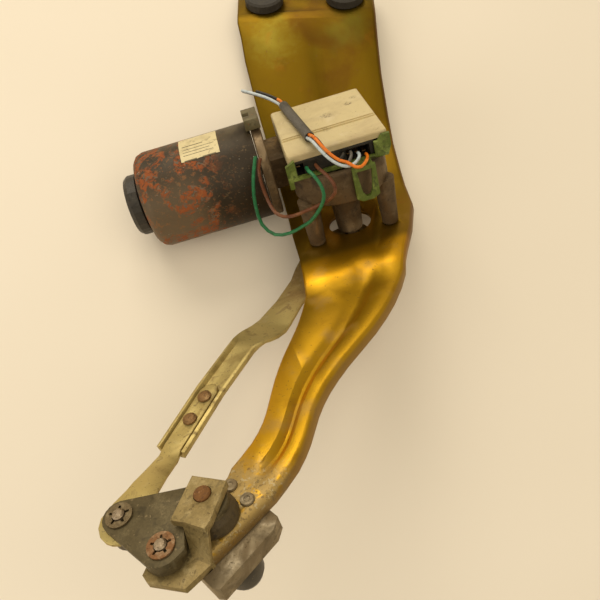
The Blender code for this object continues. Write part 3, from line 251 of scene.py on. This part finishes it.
def bracket_look():
    paint = Paint("zinc_yellow_look", (0.50, 0.262, 0.010), 0.88, 0.36)
    cloud = paint.between(paint.noise(24.0, 4.0, 0.8), 0.45, 0.68)
    paint.layer(cloud, (0.39, 0.205, 0.010), 0.6, rough=0.42)
    upper = paint.along((0, 22, 0), (0, 70, 40))
    # Painted shade: the upper face is coloured dark brown, more so towards the flange.
    paint.layer(upper, (0.145, 0.080, 0.002), 0.97, rough=0.42)
    # Painted shade: the motor plate, under the motor and gearbox, is coloured darker.
    plate = paint.math("MULTIPLY", paint.along((0, -44, 0), (0, -24, 0)),
                       paint.along((0, 60, 0), (0, 30, 0)))
    paint.layer(plate, (0.15, 0.082, 0.005), 0.8, rough=0.42)
    stain = paint.math("MULTIPLY", upper, paint.between(paint.noise(22.0, 5.0, 0.5), 0.46, 0.7))
    paint.layer(stain, (0.105, 0.044, 0.003), 0.8, rough=0.46)
    paint.layer(paint.math("MULTIPLY", upper, paint.between(paint.noise(17.0, 4.0, 0.3), 0.5, 0.72)),
                (0.13, 0.115, 0.012), 0.7)
    bloom = paint.math("MULTIPLY", paint.near((-12, 118, 85), 24.0, 0.9), paint.noise(60.0, 4.0, 1.0))
    paint.layer(bloom, (0.22, 0.18, 0.02), 0.9)
    paint.layer(paint.between(paint.noise(60.0, 4.0, 0.4), 0.6, 0.76), (0.24, 0.09, 0.006), 0.4)
    # Painted highlight: the ramp bend is coloured brighter gold, with a smoother finish.
    ramp = paint.math("MULTIPLY", paint.along((0, -52, 0), (0, -46, 0)),
                      paint.along((0, -26, 0), (0, -34, 0)))
    paint.layer(ramp, (0.56, 0.27, 0.006), 0.85, 0.85, 0.32)
    dust = paint.math("MULTIPLY", paint.along((0, 6, 0), (0, -20, 0)),
                      paint.between(paint.noise(55.0, 4.0), 0.5, 0.7))
    paint.layer(dust, (0.30, 0.17, 0.04), 0.6, 0.5, 0.5)
    end = paint.along((-76, -155, 0), (-85, -170, 0))
    mottle = paint.math("MULTIPLY", end, paint.between(paint.noise(170.0, 5.0, 0.8), 0.3, 0.5))
    paint.layer(mottle, (0.31, 0.22, 0.085), 0.75, 0.35, 0.55)
    speck = paint.between(paint.noise(620.0, 3.0, 0.0, 0.75), 0.55, 0.62)
    paint.layer(paint.math("MULTIPLY", end, speck), (0.13, 0.09, 0.035), 0.6, 0.2, 0.7)
    pale = paint.between(paint.noise(480.0, 3.0, 0.3), 0.58, 0.66)
    paint.layer(paint.math("MULTIPLY", end, pale), (0.46, 0.37, 0.20), 0.6, 0.1, 0.6)
    pits = paint.between(paint.noise(560.0, 2.0, 0.0, 0.7), 0.66, 0.7)
    paint.layer(pits, (0.14, 0.055, 0.008), 0.6, 0.3, 0.7)
    # Painted shade: the side lip, which looks away from the light, is coloured dark red-brown in its upper
    # part and brown lower down.
    side = facing(paint, (0.94, -0.30, -0.1), 0.55, 0.9)
    high = paint.math("MULTIPLY", side, paint.along((0, -62, 0), (0, -36, 0)))
    paint.layer(high, (0.115, 0.045, 0.016), 0.7, 0.6, 0.45)
    low = paint.math("MULTIPLY", side, paint.along((0, -36, 0), (0, -62, 0)))
    paint.layer(low, (0.20, 0.12, 0.045), 0.7, 0.6, 0.5)
    paint.bump(paint.noise(900.0, 3.0), 0.03)
    paint.bump(paint.noise(48.0, 3.0), 0.22, 0.6)
    LOOKS["zinc_yellow"] = paint.finish()


def rod_look():
    paint = Paint("zinc_olive_look", (0.46, 0.345, 0.115), 0.65, 0.44)
    paint.layer(paint.between(paint.noise(45.0, 5.0, 0.8), 0.47, 0.66), (0.30, 0.21, 0.065), 0.85)
    paint.layer(paint.between(paint.noise(80.0, 5.0, 0.5), 0.55, 0.7), (0.52, 0.41, 0.18), 0.7, rough=0.36)
    grime = paint.between(paint.noise(120.0, 5.0, 1.0), 0.56, 0.68)
    paint.layer(grime, (0.17, 0.105, 0.035), 0.7, 0.3, 0.65)
    rust = paint.math("MULTIPLY", paint.along((-60, -60, 0), (-36, -24, 0)), paint.noise(90.0, 4.0, 1.0))
    paint.layer(rust, (0.20, 0.095, 0.03), 0.9, 0.3, 0.65)
    speck = paint.between(paint.noise(700.0, 3.0, 0.0, 0.7), 0.6, 0.66)
    paint.layer(speck, (0.12, 0.08, 0.03), 0.6, 0.2, 0.7)
    paint.bump(paint.noise(1100.0, 3.0), 0.03)
    paint.bump(paint.noise(130.0, 3.0), 0.12, 0.6)
    LOOKS["zinc_olive"] = paint.finish()


def can_look():
    paint = Paint("can_rusty_look", (0.024, 0.015, 0.007), 0.25, 0.5)
    top = paint.along((0, 8, 52), (0, 34, 66))
    olive = paint.math("MULTIPLY", top, paint.between(paint.noise(38.0, 5.0, 0.6), 0.35, 0.6))
    paint.layer(olive, (0.085, 0.062, 0.030), 0.8, rough=0.4)
    left = paint.along((-70, 0, 0), (-92, 0, 0))
    taupe = paint.math("MULTIPLY", left, paint.along((0, 30, 58), (0, 2, 30)))
    paint.layer(taupe, (0.14, 0.092, 0.046), 0.85, 0.2, 0.5)
    patches = paint.between(paint.noise(44.0, 5.0, 1.9), 0.47, 0.55)
    zone = paint.math("MULTIPLY", patches, paint.along((-62, 0, 0), (-82, 0, 0)))
    rust = paint.math("MULTIPLY", paint.between(paint.noise(260.0, 6.0, 1.0, 0.7), 0.42, 0.52), zone)
    paint.layer(rust, (0.25, 0.060, 0.012), 0.95, 0.05, 0.8)
    flake = paint.math("MULTIPLY", paint.between(paint.noise(190.0, 4.0, 1.5), 0.56, 0.62), zone)
    paint.layer(flake, (0.11, 0.088, 0.055), 0.9, 0.2, 0.55)
    rim = paint.math("MULTIPLY", paint.between(paint.noise(330.0, 5.0, 0.6, 0.7), 0.55, 0.62),
                     paint.along((-46, 0, 0), (-90, 0, 0)))
    paint.layer(rim, (0.30, 0.11, 0.028), 0.45, 0.05, 0.85)
    dirt = paint.between(paint.noise(420.0, 4.0, 0.4, 0.7), 0.6, 0.66)
    paint.layer(dirt, (0.15, 0.095, 0.042), 0.6, 0.1, 0.8)
    nick = paint.between(paint.noise(240.0, 2.0, 2.5, 0.5), 0.745, 0.76)
    paint.layer(nick, (0.42, 0.38, 0.30), 0.8, 0.7, 0.35)
    paint.bump(rust, 0.14, 0.7)
    paint.bump(flake, 0.08, 0.6)
    paint.bump(paint.noise(1200.0, 3.0), 0.03)
    paint.bump(paint.noise(75.0, 3.0), 0.15, 0.5)
    LOOKS["can_rusty"] = paint.finish()


SMUDGES = (  # place on the cover in mm, radius in mm, strength
    ((17, 26, 65), 3.0, 0.8), ((2, 18, 65), 4.6, 0.6), ((22, 33, 65), 3.0, 0.5),
    ((-2, 1, 64), 3.0, 0.35), ((24, -16, 62), 4.0, 0.5),
)


def cover_look():
    paint = Paint("cover_cream_look", (0.555, 0.435, 0.21), 0.0, 0.5)
    paint.layer(paint.between(paint.noise(40.0, 4.0, 0.5), 0.46, 0.68), (0.43, 0.32, 0.16), 0.7)
    paint.layer(paint.between(paint.noise(70.0, 4.0, 0.5), 0.55, 0.72), (0.60, 0.485, 0.275), 0.7)
    for spot, radius, amount in SMUDGES:
        smudge = paint.math("MULTIPLY", paint.near(spot, radius),
                            paint.between(paint.noise(900.0, 4.0, 0.6), 0.42, 0.56))
        paint.layer(smudge, (0.10, 0.065, 0.03), amount, rough=0.6)
    edge = paint.math("MULTIPLY", paint.along((0, -12, 0), (0, -21, 0)), paint.noise(110.0, 5.0, 0.7))
    paint.layer(edge, (0.26, 0.17, 0.065), 0.7)
    # Painted shade: the cover's lower sides are coloured dark brown, broken up by noise.
    low = paint.math("MULTIPLY", paint.along((0, 0, 60), (0, 0, 50)), paint.noise(90.0, 4.0, 0.5))
    paint.layer(low, (0.13, 0.09, 0.04), 1.2)
    speck = paint.between(paint.noise(640.0, 2.0, 0.0, 0.7), 0.66, 0.7)
    paint.layer(speck, (0.22, 0.14, 0.06), 0.5)
    paint.bump(paint.noise(1500.0, 2.0), 0.02)
    paint.bump(paint.noise(150.0, 3.0), 0.06, 0.5)
    LOOKS["cover_cream"] = paint.finish()


def casting_look(slot, color, light, dark, grime):
    paint = Paint(slot + "_look", color, 0.55, 0.5)
    paint.layer(paint.between(paint.noise(90.0, 5.0, 0.5), 0.5, 0.66), light, 0.8, 0.7, 0.4)
    paint.layer(paint.between(paint.noise(60.0, 6.0, 1.2), 0.46, 0.62), grime, 0.85, 0.1, 0.75)
    paint.layer(paint.between(paint.noise(110.0, 5.0, 0.5), 0.54, 0.72), dark, 0.7, 0.2, 0.75)
    crust = paint.between(paint.noise(520.0, 4.0, 0.3, 0.7), 0.57, 0.66)
    paint.layer(crust, tuple(c * 0.5 for c in grime), 0.55, 0.0, 0.9)
    paint.bump(paint.noise(500.0, 5.0, 0.3), 0.12, 0.8)
    paint.bump(paint.cells(700.0), 0.05, 0.5)
    LOOKS[slot] = paint.finish()


bracket_look()
rod_look()
can_look()
cover_look()
casting_look("cast_dirty", (0.115, 0.072, 0.032), (0.21, 0.145, 0.075), (0.028, 0.018, 0.009),
             (0.072, 0.041, 0.015))
casting_look("cast_grey", (0.235, 0.175, 0.092), (0.36, 0.285, 0.17), (0.095, 0.066, 0.03),
             (0.17, 0.115, 0.052))
BLACK = (0.012, 0.010, 0.008)
GRIT = (0.075, 0.045, 0.02)
simple("rubber_grommet", (0.032, 0.026, 0.018), 0.0, 0.6, (0.06, 0.05, 0.034), BLACK, 120, 0.05)
simple("sleeve_steel", (0.28, 0.2, 0.11), 1.0, 0.4, (0.42, 0.33, 0.2), (0.12, 0.065, 0.03), 150, 0.03,
       wear=GRIT)
simple("sintered_bronze", (0.36, 0.2, 0.08), 1.0, 0.42, (0.46, 0.29, 0.13), (0.18, 0.09, 0.035), 200, 0.04)
simple("screw_steel", (0.36, 0.27, 0.12), 1.0, 0.36, (0.5, 0.4, 0.2), (0.15, 0.09, 0.03), 260, 0.03,
       wear=GRIT)
simple("connector_black", (0.016, 0.013, 0.009), 0.0, 0.42, (0.045, 0.035, 0.022),
       (0.006, 0.005, 0.004), 160, 0.03,
       wear=(0.075, 0.052, 0.025))
simple("carrier_green", (0.085, 0.112, 0.014), 0.0, 0.48, (0.21, 0.25, 0.05), (0.028, 0.040, 0.007),
       130, 0.05,
       wear=(0.07, 0.045, 0.012))
simple("end_cap_rubber", (0.034, 0.028, 0.020), 0.0, 0.46, (0.06, 0.052, 0.036), BLACK, 90, 0.08,
       wear=(0.07, 0.05, 0.028))
simple("ferrite", (0.055, 0.052, 0.05), 0.3, 0.5, (0.09, 0.085, 0.08), (0.03, 0.03, 0.03), 120, 0.06)
simple("brush_board", (0.16, 0.08, 0.028), 0.0, 0.5, (0.23, 0.13, 0.05), (0.07, 0.035, 0.012), 140, 0.04)
simple("carbon", (0.03, 0.03, 0.03), 0.2, 0.5, (0.06, 0.06, 0.06), (0.01, 0.01, 0.01), 200, 0.04)
simple("block_dark", (0.115, 0.09, 0.04), 0.1, 0.5, (0.18, 0.145, 0.07), (0.035, 0.025, 0.012), 130, 0.06,
       wear=(0.22, 0.09, 0.03))
simple("shaft_steel", (0.34, 0.28, 0.18), 1.0, 0.32, (0.46, 0.4, 0.28), (0.12, 0.075, 0.035), 220,
       0.02, wear=GRIT)
simple("lamination", (0.26, 0.25, 0.24), 0.9, 0.42, (0.36, 0.35, 0.34), (0.1, 0.08, 0.07), 160, 0.05)
simple("enamel_copper", (0.46, 0.16, 0.045), 0.8, 0.32, (0.58, 0.25, 0.09), (0.2, 0.07, 0.02), 200, 0.08)
simple("copper", (0.58, 0.28, 0.14), 1.0, 0.3, (0.66, 0.37, 0.22), (0.22, 0.1, 0.05), 200, 0.03)
simple("wheel_nylon", (0.55, 0.48, 0.32), 0.0, 0.36, (0.64, 0.58, 0.42), (0.36, 0.28, 0.16), 140, 0.03)
simple("crank_plated", (0.32, 0.24, 0.09), 0.8, 0.44, (0.44, 0.35, 0.16), (0.11, 0.065, 0.025), 110,
       0.06, wear=GRIT)
simple("rusty_steel", (0.165, 0.068, 0.016), 0.15, 0.75, (0.30, 0.14, 0.045), (0.075, 0.030, 0.012),
       330, 0.12,
       wear=(0.36, 0.18, 0.07))
simple("phosphate_dark", (0.100, 0.073, 0.030), 0.4, 0.55, (0.165, 0.124, 0.056),
       (0.040, 0.029, 0.012), 85, 0.08,
       grit=620, wear=(0.23, 0.165, 0.075))
simple("seal_dark", (0.066, 0.042, 0.014), 0.05, 0.5, (0.095, 0.063, 0.026), (0.016, 0.011, 0.006),
       140, 0.08,
       wear=(0.12, 0.075, 0.03))
simple("zinc_pale", (0.260, 0.182, 0.064), 0.5, 0.54, (0.40, 0.30, 0.13), (0.11, 0.075, 0.026), 150, 0.12,
       grit=560, wear=(0.075, 0.046, 0.018))
simple("pin_silver", (0.28, 0.205, 0.12), 0.85, 0.42, (0.46, 0.37, 0.25), (0.09, 0.052, 0.022), 300,
       0.06, wear=GRIT)
simple("washer_rust", (0.20, 0.090, 0.030), 0.5, 0.52, (0.38, 0.25, 0.13), (0.070, 0.030, 0.011), 200,
       0.08, wear=GRIT)
simple("washer_steel", (0.155, 0.108, 0.050), 0.7, 0.45, (0.30, 0.23, 0.12), (0.060, 0.038, 0.016),
       220, 0.06, wear=GRIT)
simple("cap_dark", (0.045, 0.036, 0.023), 0.2, 0.45, (0.09, 0.072, 0.045), (0.018, 0.014, 0.009), 160, 0.05,
       wear=(0.12, 0.09, 0.05))
simple("rivet_bronze", (0.235, 0.125, 0.045), 0.75, 0.45, (0.40, 0.25, 0.10), (0.085, 0.042, 0.016),
       260, 0.06, wear=GRIT)
simple("ball_steel", (0.44, 0.4, 0.33), 1.0, 0.25, (0.55, 0.5, 0.42), (0.18, 0.13, 0.08), 240, 0.02)
simple("socket_dark", (0.028, 0.023, 0.016), 0.0, 0.45, (0.07, 0.055, 0.035), BLACK, 150, 0.06)
simple("lead_green_pvc", (0.014, 0.13, 0.042), 0.0, 0.36, (0.03, 0.22, 0.07), (0.008, 0.05, 0.02), 150,
       0.03,
       wear=(0.035, 0.035, 0.015))
simple("lead_brown_pvc", (0.13, 0.04, 0.014), 0.0, 0.38, (0.22, 0.085, 0.03), (0.055, 0.018, 0.008),
       150, 0.03,
       wear=(0.05, 0.03, 0.012))
simple("wire_orange_pvc", (0.72, 0.17, 0.010), 0.0, 0.33, (0.85, 0.27, 0.03), (0.42, 0.08, 0.008), 160,
       0.02)
simple("wire_white_pvc", (0.46, 0.50, 0.47), 0.0, 0.34, (0.64, 0.66, 0.6), (0.22, 0.24, 0.22), 160, 0.02)
simple("wire_grey_pvc", (0.10, 0.085, 0.065), 0.0, 0.36, (0.18, 0.15, 0.11), (0.045, 0.038, 0.028),
       160, 0.02)
simple("wire_black_pvc", (0.018, 0.016, 0.013), 0.0, 0.36, (0.045, 0.038, 0.028),
       (0.008, 0.007, 0.006), 160, 0.02)


def sleeve_look():
    paint = Paint("sleeve_black_look", (0.055, 0.047, 0.037), 0.0, 0.5)
    weave = paint.cells(1400.0)
    paint.layer(paint.between(weave, 0.2, 0.6), (0.12, 0.105, 0.08), 0.6)
    paint.layer(paint.between(paint.noise(120.0, 4.0, 0.5), 0.5, 0.68), (0.02, 0.018, 0.015), 0.7)
    paint.bump(weave, 0.08)
    LOOKS["sleeve_black"] = paint.finish()


sleeve_look()
SLOT_OF = {s["node"]: s["material_slot"] for s in frame["record"]["subparts"]}
for node, obj in NODES.items():
    obj.data.materials.clear()
    obj.data.materials.append(LOOKS[SLOT_OF[node]])


# ---------------------------------------------------------------- edges of the carried-over nodes
SMOOTH_ANGLE = math.radians(34)
WELD_MM = 0.005
ROUNDED = {  # bevel width in mm of each node whose edges show
    "bracket": 0.35, "gearbox_housing": 0.6, "pivot_housing": 0.6, "crank_arm": 0.4, "lever_plate": 0.35,
    "bridge_plate": 0.35, "rod_channel": 0.3, "rod_strip": 0.3, "connector_block": 0.25,
    "terminal_carrier": 0.35,
    "brush_terminal_block": 0.4, "crank_nut": 0.3, "mount_screw_1": 0.2, "mount_screw_2": 0.2,
    "mount_screw_3": 0.2, "motor_can": 0.3, "spindle_cap": 0.3,
}
for node, obj in NODES.items():
    for face in obj.data.polygons:
        face.use_smooth = True
    obj.data.set_sharp_from_angle(angle=SMOOTH_ANGLE)
    if node in ROUNDED:
        weld = obj.modifiers.new("weld", "WELD")
        weld.merge_threshold = WELD_MM * MM
        bevel = obj.modifiers.new("edge", "BEVEL")
        bevel.width = ROUNDED[node] * MM
        bevel.segments = 2
        bevel.limit_method = "ANGLE"
        bevel.angle_limit = SMOOTH_ANGLE
        bevel.use_clamp_overlap = True
        bevel.harden_normals = True


# ---------------------------------------------------------------- harness wires
WIRE_DIAMETER = 1.8
BUNDLE = [  # middle line of the four harness wires, from in front of the connector to their cut ends
    (0.5, -33.0, 57.2), (-3.5, -32.6, 59.6), (-7.2, -31.0, 63.4), (-10.0, -28.0, 67.4), (-11.8, -23.6, 70.4),
    (-12.9, -17.5, 70.2), (-13.4, -11.0, 68.1), (-16.5, 16.5, 68.1), (-19.6, 44.0, 68.1), (-22.0, 51.5, 68.9),
    (-27.0, 59.0, 71.0), (-34.0, 65.5, 73.6), (-41.0, 70.5, 76.0),
]
BUNDLE_SIDE = Vector((0.72, 0.28, 0.64))
SQUARE = 1.07
WIRES = {  # way out of the connector, corner of the square, first and last bundle point used
    "wire_orange": ([(14.2, -20.9, 53.6), (13.9, -26.0, 54.2), (11.5, -31.6, 54.6), (7.8, -35.6, 54.6),
                     (4.2, -36.6, 56.2)], (1, 1), 0, 10),
    "wire_white": ([(9.9, -20.9, 55.6), (9.6, -26.0, 56.6), (7.6, -30.4, 56.4), (4.0, -32.2, 55.4)],
                   (-1, 1), 0, 13),
    "wire_grey": ([(5.8, -20.9, 57.4), (5.4, -25.6, 58.6), (3.8, -29.4, 57.8)], (-1, -1), 0, 13),
    "wire_black": ([(1.6, -20.9, 57.4), (1.2, -25.0, 59.4), (0.0, -28.8, 60.2)], (1, -1), 1, 12),
}


def bundle_points(corner, first, last):
    """Points of one wire of the bundle, at its corner of the square."""
    middle = [Vector(p) for p in BUNDLE]
    points = []
    for k in range(first, last):
        along = (middle[min(k + 1, len(middle) - 1)] - middle[max(k - 1, 0)]).normalized()
        front = BUNDLE_SIDE.cross(along).normalized()
        side = along.cross(front)
        points.append(tuple(middle[k] + SQUARE * (corner[0] * side + corner[1] * front)))
    return points


def spline(points, smooth):
    """Catmull-Rom line through the points, with smooth added points in each span."""
    ends = [Vector(p) for p in points]
    ends = [2 * ends[0] - ends[1]] + ends + [2 * ends[-1] - ends[-2]]
    line = []
    for a, b, c, d in zip(ends, ends[1:], ends[2:], ends[3:]):
        for k in range(smooth + 1):
            t = k / (smooth + 1)
            line.append(0.5 * (2 * b + (c - a) * t + (2 * a - 5 * b + 4 * c - d) * t ** 2
                               + (3 * b - a - 3 * c + d) * t ** 3))
    return line + [ends[-2]]


def bare_tip(name, line, metal):
    """The copper strands that show at a cut end, as one short ribbed core."""
    bm = bmesh.new()
    end, back = line[-1], line[-2]
    turn = (end - back).to_track_quat("Z", "Y").to_matrix().to_4x4()
    rings = []
    for height, radius in ((-0.3, 0.42), (0.0, 0.42), (0.28, 0.36)):
        ring = []
        for k in range(18):
            angle = 2 * math.pi * k / 18
            reach = radius * (1.0 if k % 3 else 0.8) * MM
            spot = Vector((reach * math.cos(angle), reach * math.sin(angle), height * MM))
            ring.append(bm.verts.new(Matrix.Translation(end) @ turn @ spot))
        rings.append(ring)
    for a, b in zip(rings, rings[1:]):
        for k in range(18):
            bm.faces.new([a[k], a[(k + 1) % 18], b[(k + 1) % 18], b[k]])
    bm.faces.new(rings[0])
    bm.faces.new(rings[-1])
    bmesh.ops.recalc_face_normals(bm, faces=bm.faces)
    mesh = bpy.data.meshes.new(name)
    bm.to_mesh(mesh)
    bm.free()
    mesh.materials.append(metal)
    obj = bpy.data.objects.new(name, mesh)
    bpy.context.scene.collection.objects.link(obj)
    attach(obj, "frame")
    return obj


for name, (start, corner, first, last) in WIRES.items():
    route = spline(start + bundle_points(corner, first, last), 1)
    line = [at(*p) for p in route]
    curve = bpy.data.curves.new(name + "_insulation", "CURVE")
    curve.dimensions = "3D"
    curve.bevel_depth = WIRE_DIAMETER / 2 * MM
    curve.bevel_resolution = 4
    curve.use_fill_caps = True
    path = curve.splines.new("POLY")
    path.points.add(len(line) - 1)
    for point, place in zip(path.points, line):
        point.co = (*place, 1.0)
    path.use_smooth = True
    curve.materials.append(LOOKS[name + "_pvc"])
    piece = bpy.data.objects.new(name + "_insulation", curve)
    bpy.context.scene.collection.objects.link(piece)
    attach(piece, "frame")
    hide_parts(name)
    tip = bare_tip(name + "_strands", line, LOOKS["copper"])


# ---------------------------------------------------------------- pieces that only show
def visual(name, bm, mat, body):
    """Turns a mesh under construction into a piece that rides a body."""
    mesh = bpy.data.meshes.new(name)
    bmesh.ops.recalc_face_normals(bm, faces=bm.faces)
    bm.to_mesh(mesh)
    bm.free()
    mesh.materials.append(mat)
    obj = bpy.data.objects.new(name, mesh)
    bpy.context.scene.collection.objects.link(obj)
    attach(obj, body)
    return obj


CAN_AXIS = (27.0, 40.0)  # Y and Z of the motor's middle line, in mm
LABEL_X = (-88.0, -64.5)
LABEL_ANGLE = (-13.0, 32.0)
LABEL_UNDER, LABEL_TOP = 30.06, 30.16
RULE_UNDER, RULE_TOP = 30.12, 30.19
RULES = (  # start and stop along the label, angle and height in degrees
    (0.08, 0.62, 9.0, 1.2), (0.08, 0.9, 15.0, 0.7), (0.08, 0.78, 19.5, 0.7),
    (0.08, 0.86, 24.0, 0.7), (0.08, 0.4, 31.0, 1.6), (0.55, 0.9, 31.0, 1.6),
)
BLADES = ((-24.0, 55.6), (5.4, 54.4), (9.9, 54.2), (14.2, 53.6))  # X and Z of each contact blade, in mm


def can_place(x, angle, radius):
    """Place on the motor can: x along it, angle in degrees from the side that looks up."""
    a = math.radians(angle)
    return at(x, CAN_AXIS[0] - radius * math.sin(a), CAN_AXIS[1] + radius * math.cos(a))


def label_look():
    """Aged cream paper."""
    paint = Paint("label_look", (0.62, 0.50, 0.25), 0.0, 0.5)
    paint.layer(paint.between(paint.noise(110.0, 4.0, 0.5), 0.5, 0.68), (0.46, 0.36, 0.17), 0.7)
    paint.layer(paint.between(paint.noise(300.0, 4.0, 1.0), 0.56, 0.66), (0.22, 0.16, 0.08), 0.55)
    paint.bump(paint.noise(500.0, 3.0), 0.03)
    return paint.finish()


def add_label():
    """Paper rating label wrapped on the can, with its rules."""
    bm = bmesh.new()
    columns, rows = 10, 14
    for radius in (LABEL_UNDER, LABEL_TOP):
        sheet = []
        for i in range(columns + 1):
            x = LABEL_X[0] + (LABEL_X[1] - LABEL_X[0]) * i / columns
            line = []
            for k in range(rows + 1):
                angle = LABEL_ANGLE[0] + (LABEL_ANGLE[1] - LABEL_ANGLE[0]) * k / rows
                ragged = 0.35 * math.sin(i * 2.1) if k in (0, rows) else 0.0
                line.append(bm.verts.new(can_place(x, angle + ragged, radius)))
            sheet.append(line)
        for a, b in zip(sheet, sheet[1:]):
            for k in range(rows):
                bm.faces.new([a[k], a[k + 1], b[k + 1], b[k]])
        if radius == LABEL_UNDER:
            under = sheet
    rim = [(0, k) for k in range(rows)] + [(i, rows) for i in range(columns)]
    rim += [(columns, k) for k in range(rows, 0, -1)] + [(i, 0) for i in range(columns, 0, -1)]
    for (i, k), (m, n) in zip(rim, rim[1:] + rim[:1]):
        bm.faces.new([under[i][k], under[m][n], sheet[m][n], sheet[i][k]])
    visual("can_label", bm, label_look(), "frame")
    bars = bmesh.new()
    for start, stop, angle, tall in RULES:
        x0 = LABEL_X[0] + (LABEL_X[1] - LABEL_X[0]) * start
        x1 = LABEL_X[0] + (LABEL_X[1] - LABEL_X[0]) * stop
        corners = [(x0, angle), (x1, angle), (x1, angle + tall), (x0, angle + tall)]
        bottom = [bars.verts.new(can_place(x, a, RULE_UNDER)) for x, a in corners]
        top = [bars.verts.new(can_place(x, a, RULE_TOP)) for x, a in corners]
        bars.faces.new(top)
        bars.faces.new(bottom)
        for k in range(4):
            bars.faces.new([bottom[k], bottom[(k + 1) % 4], top[(k + 1) % 4], top[k]])
    visual("label_rules", bars, LOOKS["block_dark"], "frame")


def add_blades():
    """Brass contact blades that show in the connector's cavities."""
    bm = bmesh.new()
    for x, z in BLADES:
        corners = [at(x + dx, y, z + dz) for y in (-8.4, -16.4) for dx, dz in
                   ((-1.0, -0.3), (1.0, -0.3), (1.0, 0.3), (-1.0, 0.3))]
        verts = [bm.verts.new(c) for c in corners]
        bm.faces.new(verts[:4])
        bm.faces.new(verts[4:])
        for k in range(4):
            bm.faces.new([verts[k], verts[(k + 1) % 4], verts[(k + 1) % 4 + 4], verts[k + 4]])
    visual("contact_blades", bm, LOOKS["sintered_bronze"], "frame")


add_label()
add_blades()


# ---------------------------------------------------------------- floor, light and world
def make_stage():
    """Pale table top, half a millimetre under the lowest solid."""
    bm = bmesh.new()
    bmesh.ops.create_grid(bm, x_segments=2, y_segments=2, size=3.0)
    mesh = bpy.data.meshes.new("floor")
    bm.to_mesh(mesh)
    bm.free()
    paint = Paint("floor_look", (0.74, 0.635, 0.47), 0.0, 0.7)
    paint.layer(paint.between(paint.noise(3.0, 2.0, 0.2), 0.4, 0.7), (0.77, 0.665, 0.50), 0.6)
    mesh.materials.append(paint.finish())
    floor = bpy.data.objects.new("floor", mesh)
    bpy.context.scene.collection.objects.link(floor)
    floor.location = (0.0, 0.0, CAD_BOX[0].z - 0.0005)


def lamp(name, place, target, size, power, color):
    """Rectangular area lamp that faces its target."""
    data = bpy.data.lights.new(name, "AREA")
    data.shape = "RECTANGLE"
    data.size, data.size_y = size
    data.energy = power
    data.color = color
    obj = bpy.data.objects.new(name, data)
    bpy.context.scene.collection.objects.link(obj)
    obj.location = place
    obj.rotation_euler = (Vector(target) - Vector(place)).to_track_quat("-Z", "Y").to_euler()


make_stage()
lamp("window", (-0.25, 1.15, 0.95), (0.0, 0.0, 0.03), (1.1, 0.8), 13.5, (1.0, 0.96, 0.91))
lamp("ceiling", (0.35, -0.25, 1.5), (0.0, 0.0, 0.0), (1.4, 1.4), 10.0, (1.0, 0.94, 0.84))
lamp("left_fill", (-1.1, -0.35, 0.7), (0.0, 0.0, 0.05), (0.9, 0.7), 5.0, (0.97, 0.97, 1.0))
world = bpy.data.worlds.new("world")
world.use_nodes = True
world.node_tree.nodes["Background"].inputs["Color"].default_value = (1.0, 0.94, 0.82, 1.0)
world.node_tree.nodes["Background"].inputs["Strength"].default_value = 0.44
bpy.context.scene.world = world
bpy.context.scene.view_settings.view_transform = "Standard"
